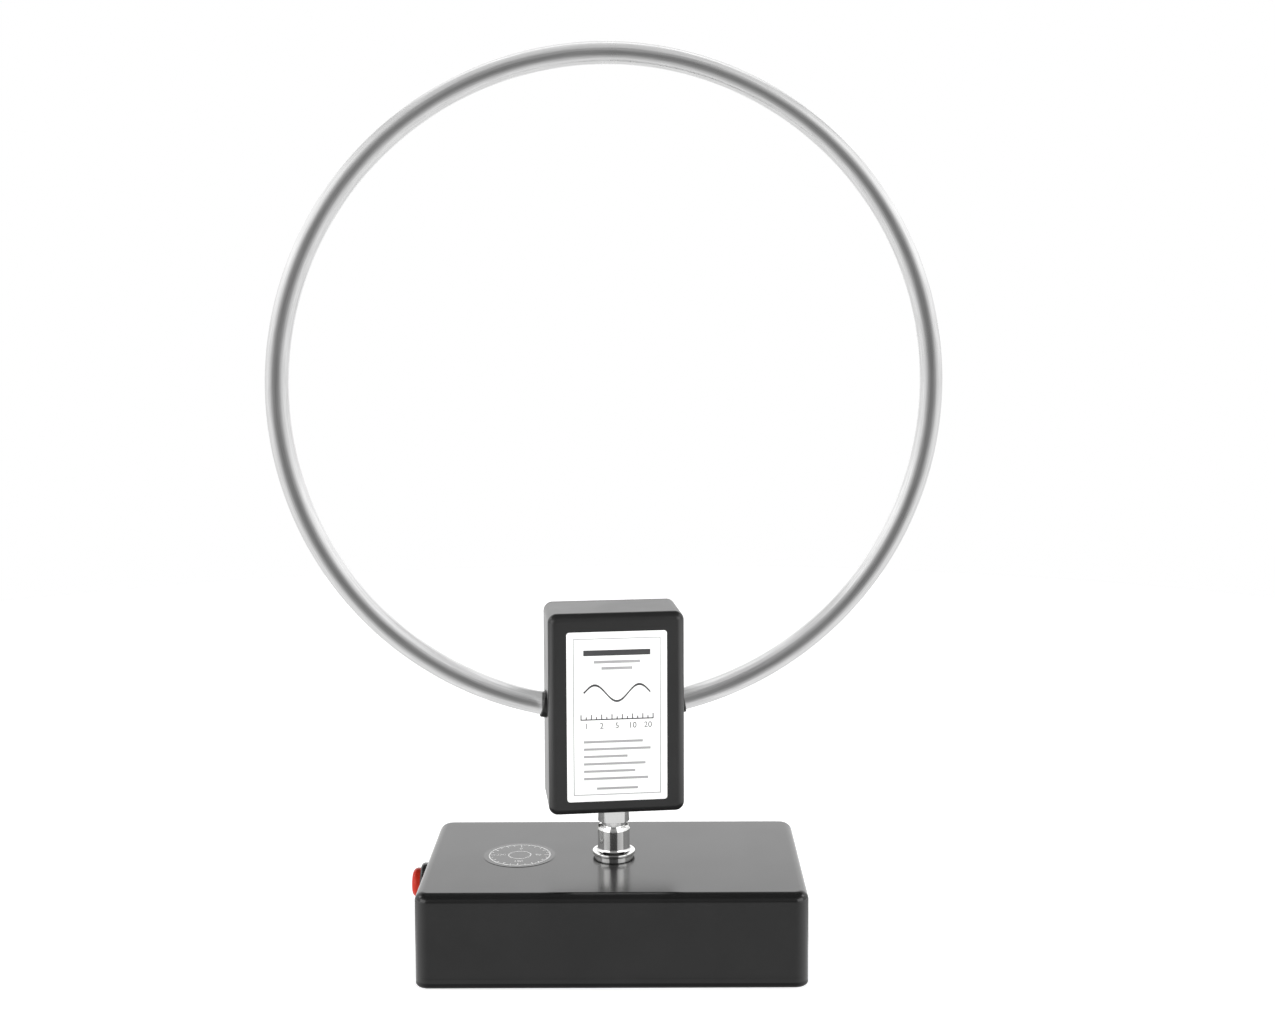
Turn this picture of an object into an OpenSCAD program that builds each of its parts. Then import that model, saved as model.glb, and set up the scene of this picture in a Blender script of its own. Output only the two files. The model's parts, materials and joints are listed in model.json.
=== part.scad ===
// Tabletop radio loop antenna. A ring of bare tube runs through a small head box, which stands
// on the base box by a bayonet connector and turns on it by hand.
// The front faces -Y, right is +X and up is +Z. The origin is the middle of the underside.

/* [Base box] */
// Width of the base box
base_w = 148; // [140:1:200]
// Depth of the base box
base_d = 90; // [86:1:130]
// Height of the base box
base_h = 36; // [35:0.5:60]
// Radius of the base box's upright edges
base_corner_r = 5.5; // [4.5:0.5:8]
// Radius of the base box's top edges
base_edge_r = 3.5; // [2.6:0.1:3.8]
// Radius of the edges round its underside
base_foot_r = 1.2; // [0.6:0.1:3.8]

/* [Head box] */
// Width of the head box
head_w = 53; // [50:1:70]
// Depth of the head box
head_d = 31; // [30:0.5:50]
// Height of the head box
head_h = 79; // [76:1:110]
// Radius of the head box's corners, seen from the front
head_corner_r = 3.6; // [3.2:0.1:5]
// Radius of the edges round its front and its back
head_edge_r = 3; // [2.4:0.1:3.2]

/* [Shells and covers] */
// Wall of both boxes
wall = 2.2; // [1.8:0.1:2.4]
// Thickness of the screwed-on covers
cover_t = 4; // [3.9:0.1:5]
// Thickness of the lip that centres a cover in its box
lip_t = 1.2; // [0.8:0.1:1.4]
// Height of that lip
lip_h = 2; // [1:0.5:3]
// Gap between the lip and the box
lip_clear = 0.15; // [0.1:0.05:0.3]
// Radius of the screw bosses in the box corners
boss_r = 3.2; // [2.6:0.1:3.3]
// Distance of a boss from the two nearest sides
boss_inset = 7.2; // [7:0.1:8]

/* [Screws] */
// Shank radius of the cover screws
case_screw_r = 1.5; // [1.2:0.1:1.8]
// Head radius of the cover screws
case_screw_head_r = 2.8; // [2.4:0.1:3]
// Head height of the cover screws
case_screw_head_h = 1.6; // [1.2:0.1:2]
// Shank length of the cover screws
case_screw_len = 12; // [8:1:16]
// How deep a cover screw's head lies below the cover's face
case_screw_sink = 0.5; // [0.2:0.1:0.8]
// Shank radius of the board screws
board_screw_r = 1.25; // [1:0.05:1.4]
// Head radius of the board screws
board_screw_head_r = 2.3; // [2:0.1:2.5]
// Head height of the board screws
board_screw_head_h = 1.4; // [1:0.1:1.8]
// Shank length of the board screws
board_screw_len = 5; // [4:0.5:6]
// Radial gap round a screw or a threaded stem in its hole
hole_clear = 0.1; // [0.05:0.05:0.15]

/* [Loop] */
// Radius of the ring, to the middle of the tube
loop_r = 128; // [100:1:160]
// Outside diameter of the tube
tube_d = 9; // [8:0.5:9.5]
// Wall of the tube
tube_wall = 1; // [0.6:0.1:1.5]
// Distance between the two tube ends inside the head box
loop_gap = 16; // [10:1:18]
// Height above the head box's underside at which the tube enters its sides
loop_entry_h = 40.8; // [38:0.1:46]
// Turn of the head on the base as it stands, anticlockwise from above
loop_heading = 7; // [-10:0.5:10]
// Distance of the terminal screws from the middle
terminal_x = 13; // [12:0.5:14]
// Shank radius of the terminal screws
terminal_screw_r = 1.5; // [1.2:0.1:1.8]
// Head radius of the terminal screws
terminal_head_r = 2.8; // [2.4:0.1:3.2]
// Head height of the terminal screws
terminal_head_h = 2; // [1.4:0.1:2.4]
// Thickness of the terminal tags between tube and board
tag_t = 0.5; // [0.4:0.1:0.8]

/* [Grommets] */
// Wall of the rubber grommets round the tube
grommet_wall = 0.75; // [0.6:0.05:1.2]
// How far a grommet stands out of the head box
grommet_proud = 1.5; // [1.5:0.1:4]
// Thickness of the flange inside the box
grommet_flange_t = 1.3; // [1:0.1:1.6]
// How far the flange reaches beyond the grommet's sleeve
grommet_flange_w = 1.4; // [1:0.1:2]

/* [Jack] */
// Outside radius of a jack's barrel
barrel_r = 4.83; // [4.7:0.01:4.85]
// Length of the barrel from its collar to its mouth
barrel_len = 9.9; // [9.5:0.1:12]
// Radius of the barrel's nose, ahead of the lugs
nose_r = 4.65; // [4.6:0.01:4.68]
// Length of the nose
nose_len = 4; // [3:0.1:4]
// Radius of the mouth's bore
mouth_r = 4.06; // [4.05:0.01:4.1]
// Depth of the mouth's bore
mouth_depth = 6.2; // [6:0.1:7]
// Radius of the two bayonet lugs
lug_r = 1; // [0.8:0.05:1.1]
// Distance of a lug's tip from the axis
lug_tip_r = 5.5; // [5.3:0.05:5.55]
// Distance of the lugs from the mouth
lug_from_mouth = 5.1; // [4.8:0.1:5.4]
// Radius of a jack's collar
collar_r = 6.35; // [6:0.05:7]
// Distance between the collar's two flats
collar_flats = 9.9; // [9.8:0.1:12]
// Length of the head jack's collar
head_collar_len = 7; // [5:0.5:12]
// Length of the output jack's collar
output_collar_len = 2.5; // [2:0.5:5]
// Radius of the insulator
jack_insulator_r = 2.4; // [2:0.1:2.6]
// Outside radius of the inner contact
contact_r = 1.1; // [1:0.05:1.2]
// Bore radius of the inner contact
contact_bore_r = 0.72; // [0.71:0.01:0.75]
// Length of the contact's solder tail
tail_len = 3; // [2:0.5:4]

/* [Plug and coupling sleeve] */
// Radius of the threaded stems
stem_r = 4.75; // [4.5:0.05:5]
// Length of stem beyond its nut
stem_spare = 1.4; // [0.5:0.1:2]
// Height of the stem nuts
nut_h = 2.6; // [2:0.1:3]
// Distance across the flats of the stem nuts
nut_flats = 14; // [13:0.5:15]
// Thickness of the stem washers
washer_t = 0.6; // [0.4:0.1:1]
// Radius of the stem washers
washer_r = 7.4; // [6.5:0.1:8]
// Radius of the plug's flange on the base box
plug_flange_r = 7.6; // [7:0.1:8.2]
// Thickness of that flange
plug_flange_t = 0.8; // [0.6:0.1:1.5]
// Radius of the plug's neck above the flange
neck_r = 4.6; // [4.4:0.05:4.7]
// Length of the neck
neck_len = 1.5; // [1.4:0.1:2]
// Radius of the shoulder that the sleeve turns on
shoulder_r = 5.85; // [5.7:0.05:5.9]
// Thickness of the shoulder
shoulder_t = 1.1; // [0.8:0.1:1.5]
// Radius of the plug's outer contact tube
plug_tube_r = 4; // [3.9:0.01:4.02]
// Bore radius of that tube
plug_bore_r = 3.4; // [3.2:0.05:3.5]
// Length of the tube above the shoulder
plug_tube_len = 5.4; // [5:0.1:5.6]
// Radius of the plug's pin
pin_r = 0.675; // [0.65:0.005:0.69]
// Thickness of the gasket under the jack's mouth
gasket_t = 1; // [0.6:0.1:1.4]
// Gap between gasket and mouth
mouth_clear = 0.1; // [0.05:0.05:0.3]
// Outside radius of the coupling sleeve
sleeve_r = 6.4; // [6.3:0.05:7]
// Length of the coupling sleeve
sleeve_len = 11.4; // [11:0.1:12]
// Height of the slope round the sleeve's rim
rim_slope_h = 1.2; // [0.6:0.1:1.6]
// How far that slope goes in
rim_slope_in = 0.35; // [0.2:0.05:0.4]
// Radius of the grip at the sleeve's foot
grip_r = 8.4; // [7.8:0.1:9.5]
// Height of the grip's straight side
grip_h = 1.6; // [1.6:0.1:3]
// Height of the slope from the grip to the sleeve
grip_slope_h = 1.5; // [1:0.1:2.5]
// Gap between the sleeve's foot and the plug's flange
sleeve_gap = 0.2; // [0.1:0.05:0.4]
// Running clearance of the sleeve on the plug and on the barrel
run_clear = 0.08; // [0.05:0.01:0.1]
// Thickness of the snap ring in the sleeve's foot
snap_ring_t = 0.6; // [0.4:0.1:0.7]

/* [Bayonet] */
// Turn of the jack in the sleeve from locked to free
bayonet_twist = 80; // [70:1:90]
// Rise of the jack over that turn
bayonet_rise = 2.4; // [1.8:0.1:2.6]
// Gap round a lug in its groove
lug_clear = 0.25; // [0.2:0.05:0.3]

/* [Power switch] */
// Distance of the switch behind the middle
switch_y = 13; // [4:1:18]
// Height of the switch
switch_z = 20.5; // [20:0.5:22.5]
// Radius of the switch's bezel
bezel_r = 7.8; // [7.4:0.1:9]
// How far the bezel stands out
bezel_h = 4.5; // [4:0.1:6]
// Rounding of the bezel's edge
bezel_round = 1.4; // [0.6:0.1:1.6]
// Radius of the button
cap_r = 5.8; // [5:0.1:6.2]
// How far the button stands out of the bezel
cap_proud = 3.8; // [3:0.1:6]
// Rounding of the button's edge
cap_round = 2.2; // [1:0.1:2.8]
// Travel of the button
cap_travel = 2.5; // [1.5:0.1:2.8]
// Radial gap round the button
cap_clear = 0.1; // [0.05:0.05:0.2]
// Radius of the button's stem
cap_stem_r = 3.4; // [3:0.1:3.6]
// Radius of the threaded bushing
bushing_r = 5.9; // [5.6:0.1:6.2]
// Length of the bushing behind the bezel
bushing_len = 10; // [10:0.5:12]
// Distance across the flats of the switch's nut
switch_nut_flats = 16; // [15.5:0.5:17]
// Width of the switch's rear block
switch_block_w = 8.2; // [7:0.1:8.2]
// Depth of the whole switch behind the bezel
switch_depth = 20; // [17:0.5:22]
// Length of the solder terminals
terminal_len = 4.5; // [3:0.5:6]

/* [Boards and battery] */
// Thickness of the circuit boards
board_t = 1.6; // [1.2:0.1:2]
// Width of the base board
base_board_w = 100; // [90:1:108]
// Distance of the base board's front edge from the connector's axis
base_board_front = 24; // [23:0.5:32]
// Gap between a board and the wall next to it
board_gap = 0.5; // [0.3:0.1:1]
// Height of the posts under the base board
post_h = 5; // [4.5:0.5:6]
// Radius of the board posts
post_r = 2.6; // [2.2:0.1:3]
// Width of the head board
head_board_w = 43; // [38:1:43]
// Distance of the head board's ends from the ends of its box
head_board_margin = 10.8; // [10.6:0.1:13]
// Diameter of the battery cell
cell_d = 14; // [10:0.5:14.5]
// Length of the battery cell
cell_len = 50; // [44:0.5:52]
// Wall of the battery holder
holder_wall = 1.5; // [1.2:0.1:2]
// Height of the battery holder's sides
holder_h = 11; // [9:0.5:12]
// Outside radius of the transformer core
core_r = 7.5; // [6:0.1:9]
// Bore radius of the transformer core
core_bore_r = 4; // [3:0.1:4.5]
// Height of the transformer core
core_h = 6; // [4:0.1:8]
// Thickness of the wire wound on the core
winding_t = 0.6; // [0.4:0.1:0.8]
// Radius of the hook-up wires
wire_r = 0.8; // [0.5:0.1:0.9]

/* [Sockets at the back] */
// Distance of the output jack right of the middle
output_x = 38; // [28:1:40]
// Height of the output jack
output_z = 20.5; // [20.5:0.5:22]
// Distance of the charging socket left of the middle
charge_x = 30; // [20:1:34]
// Width of the charging socket
charge_w = 8.94; // [8:0.02:10]
// Height of the charging socket
charge_h = 3.26; // [3:0.02:3.6]
// Depth of the charging socket
charge_depth = 7.3; // [6.5:0.1:9]
// How deep the socket's mouth lies behind the box's face
charge_recess = 0.8; // [0.4:0.1:1.4]
// Gap round the socket in its cut-out
charge_clear = 0.3; // [0.2:0.05:0.5]

/* [Labels] */
// Width of the front label
label_w = 39; // [30:0.1:44]
// Height of the front label
label_h = 66.5; // [40:0.5:67]
// Height of the label's lower edge above the head box's underside
label_low = 5.5; // [4:0.5:6]
// Corner radius of the label
label_r = 1.2; // [0.5:0.1:4]
// Diameter of the round sticker on the base box
sticker_d = 28.5; // [15:0.5:34]
// Distance of the sticker left of the connector
sticker_x = 37.5; // [30:0.5:45]
// Thickness of label and sticker
film_t = 0.15; // [0.1:0.05:0.3]

/* [Hidden] */
$fn = 64;

// Overshoot of a cut past the face it opens, gap of pieces seated in one another, gap past a screw's end,
// and the least rounding inside a wall
cut = 1;
seat_clear = 0.05;
screw_end_gap = 0.5;
least_inner_r = 0.4;

// Heights of the connector's stack above the base box
sleeve_low = plug_flange_t + sleeve_gap;
shoulder_low = plug_flange_t + neck_len;
shoulder_top = shoulder_low + shoulder_t;
mouth_z = shoulder_top + gasket_t + mouth_clear;
lug_z = mouth_z + lug_from_mouth;
rim_z = sleeve_low + sleeve_len;
head_z = base_h + mouth_z + barrel_len + head_collar_len;
stem_len = wall + washer_t + nut_h + stem_spare;
groove_w = 2 * (lug_r + lug_clear);
groove_r = lug_tip_r + lug_clear;
snap_low = shoulder_low - neck_len / 2;

// How deep the insulator and the contact lie in a jack's mouth, and how far the plug's insulator rises
insulator_inset = 0.6;
contact_inset = 0.9;
plug_insulator_rise = 0.5;

// The ring, seen in the head's own frame
tube_r = tube_d / 2;
ring_z = loop_entry_h + sqrt(loop_r * loop_r - head_w * head_w / 4);
entry_tilt = asin(head_w / 2 / loop_r);
gap_angle = asin(loop_gap / 2 / loop_r);
grommet_reach = wall + grommet_flange_t;
grommet_clear = seat_clear + grommet_reach * grommet_reach / 2 / loop_r;
grommet_r = tube_r + grommet_clear + grommet_wall;
tag_margin = 1;

// The base board and what stands on it
board_z = cover_t + post_h;
board_top = board_z + board_t;
board_back = base_d / 2 - wall - board_gap;
board_post_inset = 4;
holder_clear = 0.3;
holder_inset = 2;
contact_gap = 2.4;
contact_t = 0.5;
holder_w = cell_d + 2 * (holder_clear + holder_wall);
holder_len = cell_len + 2 * (contact_gap + holder_wall);
holder_y = holder_w / 2 + holder_inset - base_board_front;
cell_z = board_top + holder_wall + holder_clear + cell_d / 2;

// The charging socket's sheet metal and tongue
charge_skin = 0.3;
tongue_t = 0.7;
tongue_setback = 1;

// How far a lead runs out before it bends, and how far its pad lies inside a board's edge
lead_reach = 2;
pad_inset = 3;

// Chips of the base board as left, front, width, depth and height, and cans as x, y, radius and height
base_chips = [[8, 9, 10, 8, 2.2], [-36, 22, 8, 6, 1.8]];
base_cans = [[28, 10, 4, 4.5], [-26, 14, 3, 7], [-17, 14, 3, 7], [-8, 14, 3, 7]];

// The head board, which lies behind the tube, and its parts in the same order
head_board_y = tube_r + tag_t;
head_board_h = head_h - 2 * head_board_margin;
core_from_end = 6;
core_z = head_h - head_board_margin - core_r - core_from_end;
head_chips = [[-8, 21, 7, 5, 2.2], [4, 20, 6, 8, 1.6]];
head_cans = [[-13, 24, 2.5, 6], [13, 24, 2.5, 6]];

// The switch, measured outward from the base box's left side
terminal_w = 2;
terminal_t = 0.6;
cap_floor = 0.8;
cap_end_gap = 0.4;
cap_low = cap_floor + cap_travel + cap_end_gap;
cap_stem_end = cap_travel + 2 * cap_end_gap + wall - bushing_len;
bushing_bore_end = cap_stem_end - cap_travel - cap_end_gap;

// Height of the tube's middle in the head's frame, at a distance from the axis
function tube_z(x) = ring_z - sqrt(loop_r * loop_r - x * x);

// Radius of an edge inside a wall
function inner_r(r) = max(r - wall, least_inner_r);

// The four screw bosses of a box
function boss_places(w, d) = [
    for (sx = [-1, 1], sy = [-1, 1]) [sx * (w / 2 - boss_inset), sy * (d / 2 - boss_inset), 0]
];

// The four corners of a board, moved in by its post inset
function board_corners(x, y_low, y_high) = [
    for (sx = [-1, 1], y = [y_low, y_high]) [sx * x, y, 0]
];

// Rectangle that stands on the X axis, with rounded lower and upper corners
module soft_rect(half, height, low_r, high_r) {
    intersection() {
        translate([-half, 0])
            square([2 * half, height]);
        union() {
            translate([-half, low_r])
                square([2 * half, height - low_r - high_r]);
            for (end = [[low_r, low_r, 0], [high_r, height - high_r, height - high_r]]) {
                if (end[0] > 0) {
                    translate([end[0] - half, end[2]])
                        square([2 * (half - end[0]), end[0]]);
                    for (side = [-1, 1])
                        translate([side * (half - end[0]), end[1]])
                            circle(end[0]);
                }
            }
        }
    }
}

// The right half of that rectangle turned about the Z axis
module soft_turning(r, height, low_r, high_r, angle = 360) {
    rotate_extrude(angle = angle)
        intersection() {
            soft_rect(r, height, low_r, high_r);
            square([r, height]);
        }
}

// Box with rounded upright edges and rounded lower and upper edges
module rounded_block(w, d, h, corner, low_r, high_r) {
    for (turn = [0:3]) {
        side = [[1, 1], [-1, 1], [-1, -1], [1, -1]][turn];
        translate([side[0] * (w / 2 - corner), side[1] * (d / 2 - corner), 0])
            rotate([0, 0, 90 * turn])
                soft_turning(corner, h, low_r, high_r, 90);
    }
    rotate([90, 0, 90])
        linear_extrude(w - 2 * corner, center = true)
            soft_rect(d / 2, h, low_r, high_r);
    rotate([90, 0, 0])
        linear_extrude(d - 2 * corner, center = true)
            soft_rect(w / 2, h, low_r, high_r);
}

// Flat plate with rounded corners
module rounded_plate(w, d, t, r) {
    linear_extrude(t) {
        square([w - 2 * r, d], center = true);
        square([w, d - 2 * r], center = true);
        for (sx = [-1, 1], sy = [-1, 1])
            translate([sx * (w / 2 - r), sy * (d / 2 - r)])
                circle(r);
    }
}

// Five-sided box above its cover, with screw bosses in the corners
module case_shell(w, d, h, corner, edge) {
    difference() {
        union() {
            difference() {
                translate([0, 0, cover_t])
                    rounded_block(w, d, h - cover_t, corner, 0, edge);
                translate([0, 0, cover_t - cut])
                    rounded_block(w - 2 * wall, d - 2 * wall, h - cover_t - wall + cut,
                        inner_r(corner), 0, inner_r(edge));
            }
            for (place = boss_places(w, d))
                translate([place.x, place.y, cover_t])
                    cylinder(r = boss_r, h = h - cover_t - wall);
        }
        for (place = boss_places(w, d))
            translate([place.x, place.y, cover_t - cut])
                cylinder(r = case_screw_r + hole_clear, h = case_screw_len + cut + screw_end_gap);
    }
}

// Cover of a box, with its centring lip and countersunk screw holes
module cover_plate(w, d, corner, edge) {
    inset = 2 * (wall + lip_clear);
    difference() {
        union() {
            rounded_block(w, d, cover_t, corner, edge, 0);
            translate([0, 0, cover_t])
                difference() {
                    rounded_plate(w - inset, d - inset, lip_h, inner_r(corner));
                    translate([0, 0, lip_h / 2])
                        cube([w - inset - 2 * lip_t, d - inset - 2 * lip_t, lip_h + 2 * cut], center = true);
                }
        }
        for (place = boss_places(w, d))
            translate(place) {
                translate([0, 0, -cut])
                    cylinder(r = case_screw_r + hole_clear, h = cover_t + 2 * cut);
                translate([0, 0, -cut])
                    cylinder(r = case_screw_head_r + hole_clear,
                             h = case_screw_sink + case_screw_head_h + cut);
            }
    }
}

// Pan-head screw with a cross recess, its shank pointing up from the underside of its head
module pan_screw(r, head_r, head_h, len) {
    difference() {
        union() {
            cylinder(r = r, h = len);
            translate([0, 0, -head_h])
                cylinder(r1 = head_r * 0.8, r2 = head_r, h = head_h * 0.4);
            translate([0, 0, -head_h * 0.6])
                cylinder(r = head_r, h = head_h * 0.6);
        }
        for (turn = [0, 90])
            rotate([0, 0, turn])
                translate([0, 0, -head_h])
                    cube([head_r * 1.2, head_r * 0.3, head_h * 1.1], center = true);
    }
}

// The four cover screws of a box
module cover_screw_set(w, d) {
    for (place = boss_places(w, d))
        translate([place.x, place.y, case_screw_sink + case_screw_head_h])
            pan_screw(case_screw_r, case_screw_head_r, case_screw_head_h, case_screw_len);
}

// Hexagon nut standing on the XY plane
module hex_nut(hole_r, flats, h) {
    difference() {
        cylinder(r = flats / 2 / cos(30), h = h, $fn = 6);
        translate([0, 0, -cut])
            cylinder(r = hole_r, h = h + 2 * cut);
    }
}

// Tube standing on the XY plane
module ring(outer_r, inner, h) {
    difference() {
        cylinder(r = outer_r, h = h);
        translate([0, 0, -cut])
            cylinder(r = inner, h = h + 2 * cut);
    }
}

// Wire through a list of points, with a bead at each bend
module wire(points) {
    for (i = [0:len(points) - 2]) {
        run = points[i + 1] - points[i];
        translate(points[i])
            rotate([0, acos(run.z / norm(run)), atan2(run.y, run.x)])
                cylinder(r = wire_r, h = norm(run));
        if (i > 0)
            translate(points[i])
                sphere(wire_r * 1.2);
    }
}

// Bayonet jack on a panel: outward is +Z, and the panel's outer face is at zero
module jack_body(collar_len, lug_turn) {
    mouth = collar_len + barrel_len;
    difference() {
        union() {
            intersection() {
                cylinder(r = collar_r, h = collar_len);
                translate([0, 0, collar_len / 2])
                    cube([2 * collar_r + cut, collar_flats, collar_len + cut], center = true);
            }
            translate([0, 0, -stem_len])
                cylinder(r = stem_r, h = stem_len);
            translate([0, 0, collar_len])
                cylinder(r = barrel_r, h = barrel_len - nose_len);
            translate([0, 0, mouth - nose_len])
                cylinder(r = nose_r, h = nose_len);
            translate([0, 0, mouth - lug_from_mouth])
                rotate([0, 90, lug_turn])
                    cylinder(r = lug_r, h = 2 * lug_tip_r, center = true);
        }
        translate([0, 0, mouth - mouth_depth])
            cylinder(r = mouth_r, h = mouth_depth + cut);
        translate([0, 0, -stem_len - cut])
            cylinder(r = jack_insulator_r + seat_clear, h = stem_len + mouth + 2 * cut);
    }
}

module jack_insulator(collar_len) {
    translate([0, 0, -stem_len])
        ring(jack_insulator_r, contact_r + seat_clear, stem_len + collar_len + barrel_len - insulator_inset);
}

module jack_contact(collar_len) {
    tip = collar_len + barrel_len - contact_inset;
    difference() {
        translate([0, 0, -stem_len - tail_len])
            cylinder(r = contact_r, h = stem_len + tail_len + tip);
        translate([0, 0, tip - mouth_depth])
            cylinder(r = contact_bore_r, h = mouth_depth + cut);
    }
}

// Washer and nut on a stem inside a panel, whose outer face is at zero
module stem_washer() {
    translate([0, 0, -wall - washer_t])
        ring(washer_r, stem_r + hole_clear, washer_t);
}

module stem_nut() {
    translate([0, 0, -wall - washer_t - nut_h])
        hex_nut(stem_r + seat_clear, nut_flats, nut_h);
}

// Frames of the parts: the top of the base box, its left side, its back, the head and its box
module on_base_top() {
    translate([0, 0, base_h])
        children();
}

module on_left_side() {
    translate([-base_w / 2, switch_y, switch_z])
        rotate([0, -90, 0])
            children();
}

module on_base_back() {
    translate([output_x, base_d / 2, output_z])
        rotate([-90, 0, 0])
            children();
}

module on_coupling() {
    translate([0, 0, base_h])
        rotate([0, 0, loop_heading])
            children();
}

module on_head() {
    translate([0, 0, head_z])
        rotate([0, 0, loop_heading])
            children();
}

// The head box lies on its back: its cover faces +Y and its front -Y
module in_head_box() {
    on_head()
        translate([0, head_d / 2, head_h / 2])
            rotate([90, 0, 0])
                children();
}

module head_jack_frame() {
    on_head()
        rotate([180, 0, 0])
            children();
}

// Runs its children along the tube where it enters the head box, on the right or the left
module at_loop_entry(side) {
    on_head()
        mirror([side < 0 ? 1 : 0, 0, 0])
            translate([head_w / 2, 0, loop_entry_h])
                children();
}

module base_case() {
    slot_w = charge_w + 2 * charge_clear;
    slot_h = charge_h + 2 * charge_clear;
    color("#343434")
        difference() {
            case_shell(base_w, base_d, base_h, base_corner_r, base_edge_r);
            on_base_top()
                translate([0, 0, -wall - cut])
                    cylinder(r = stem_r + hole_clear, h = wall + 2 * cut);
            on_left_side()
                translate([0, 0, -wall - cut])
                    cylinder(r = bushing_r + hole_clear, h = wall + 2 * cut);
            on_base_back()
                translate([0, 0, -wall - cut])
                    cylinder(r = stem_r + hole_clear, h = wall + 2 * cut);
            translate([-charge_x, base_d / 2 - wall - cut, board_top + charge_h / 2])
                rotate([-90, 0, 0])
                    rounded_plate(slot_w, slot_h, wall + 2 * cut, slot_h / 2 - seat_clear);
        }
}

module base_bottom_cover() {
    posts = board_corners(base_board_w / 2 - board_post_inset, board_post_inset - base_board_front,
        board_back - board_post_inset);
    color("#303030")
        difference() {
            union() {
                cover_plate(base_w, base_d, base_corner_r, base_foot_r);
                for (place = posts)
                    translate([place.x, place.y, cover_t])
                        cylinder(r = post_r, h = post_h);
            }
            for (place = posts)
                translate([place.x, place.y, board_top - board_screw_len - screw_end_gap])
                    cylinder(r = board_screw_r + hole_clear, h = board_screw_len + cut);
        }
}

module base_cover_screws() {
    color("#8d9094")
        cover_screw_set(base_w, base_d);
}

module base_board() {
    color("#1f5a3a")
        difference() {
            translate([-base_board_w / 2, -base_board_front, board_z])
                cube([base_board_w, base_board_front + board_back, board_t]);
            for (place = board_corners(base_board_w / 2 - board_post_inset,
                    board_post_inset - base_board_front, board_back - board_post_inset))
                translate([place.x, place.y, board_z - cut])
                    cylinder(r = board_screw_r + hole_clear, h = board_t + 2 * cut);
        }
}

module base_board_screws() {
    color("#8d9094")
        for (place = board_corners(base_board_w / 2 - board_post_inset,
                board_post_inset - base_board_front, board_back - board_post_inset))
            translate([place.x, place.y, board_top])
                rotate([180, 0, 0])
                    pan_screw(board_screw_r, board_screw_head_r, board_screw_head_h, board_screw_len);
}

// Chips and cans on a board's face, which is at zero
module board_parts(chips, cans) {
    for (chip = chips)
        translate([chip[0], chip[1], 0])
            cube([chip[2], chip[3], chip[4]]);
    for (can = cans)
        translate([can[0], can[1], 0])
            cylinder(r = can[2], h = can[3]);
}

// Chips, coil and capacitors of the amplifier and of the charger
module base_board_parts() {
    color("#2a2a2a")
        translate([0, 0, board_top])
            board_parts(base_chips, base_cans);
}

module battery_holder() {
    color("#222222")
        translate([0, holder_y, board_top])
            difference() {
                translate([-holder_len / 2, -holder_w / 2, 0])
                    cube([holder_len, holder_w, holder_h]);
                translate([holder_wall - holder_len / 2, holder_wall - holder_w / 2, holder_wall])
                    cube([holder_len - 2 * holder_wall, holder_w - 2 * holder_wall, holder_h]);
            }
}

module battery_cell() {
    button_r = cell_d / 5;
    color("#3a6ea5")
        translate([-cell_len / 2, holder_y, cell_z])
            rotate([0, 90, 0]) {
                cylinder(r = cell_d / 2, h = cell_len - cut);
                translate([0, 0, cell_len - cut])
                    cylinder(r = button_r, h = cut);
            }
}

// Sprung end plates that grip the cell in its holder
module battery_contacts() {
    plate = cell_d * 0.6;
    color("#c9c4b6")
        for (side = [-1, 1])
            translate([side * (cell_len / 2 + contact_gap - contact_t / 2), holder_y, cell_z]) {
                cube([contact_t, plate, plate], center = true);
                translate([side * (contact_t - contact_gap) / 2, 0, 0])
                    rotate([0, 90, 0])
                        cylinder(r = cell_d / 6, h = contact_gap - contact_t, center = true);
            }
}

module charge_socket_frame() {
    translate([-charge_x, base_d / 2 - charge_recess, board_top + charge_h / 2])
        rotate([90, 0, 0])
            children();
}

module charge_socket_shell() {
    color("#b9bcbf")
        charge_socket_frame()
            difference() {
                rounded_plate(charge_w, charge_h, charge_depth, charge_h / 2 - seat_clear);
                translate([0, 0, -cut])
                    rounded_plate(charge_w - 2 * charge_skin, charge_h - 2 * charge_skin,
                        charge_depth - charge_skin + cut, charge_h / 2 - charge_skin - seat_clear);
            }
}

module charge_socket_tongue() {
    tongue_w = charge_w * 0.75;
    color("#1c1c1c")
        charge_socket_frame()
            translate([-tongue_w / 2, -tongue_t / 2, tongue_setback])
                cube([tongue_w, tongue_t, charge_depth - tongue_setback - charge_skin]);
}

module output_jack_body() {
    color("#c8cacc")
        on_base_back()
            jack_body(output_collar_len, 0);
}

module output_jack_insulator() {
    color("#efece4")
        on_base_back()
            jack_insulator(output_collar_len);
}

module output_jack_contact() {
    color("#d9b44a")
        on_base_back()
            jack_contact(output_collar_len);
}

module output_jack_washer() {
    color("#b9bcbf")
        on_base_back()
            stem_washer();
}

module output_jack_nut() {
    color("#c8cacc")
        on_base_back()
            stem_nut();
}

// Wire from the output jack's tail down to the board
module output_lead() {
    tail_y = base_d / 2 - stem_len - tail_len;
    bend_y = tail_y - lead_reach;
    color("#e2e2e2")
        wire([[output_x, tail_y, output_z], [output_x, bend_y, output_z], [output_x, bend_y, board_top]]);
}

module power_switch_body() {
    color("#181818")
        on_left_side()
            difference() {
                union() {
                    soft_turning(bezel_r, bezel_h, 0, bezel_round);
                    translate([0, 0, -bushing_len])
                        cylinder(r = bushing_r, h = bushing_len);
                    translate([0, 0, -(switch_depth + bushing_len) / 2])
                        cube([switch_block_w, switch_block_w, switch_depth - bushing_len], center = true);
                }
                translate([0, 0, cap_floor])
                    cylinder(r = cap_r + cap_clear, h = bezel_h + cut);
                translate([0, 0, bushing_bore_end])
                    cylinder(r = cap_stem_r + run_clear, h = bezel_h - bushing_bore_end);
            }
}

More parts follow.
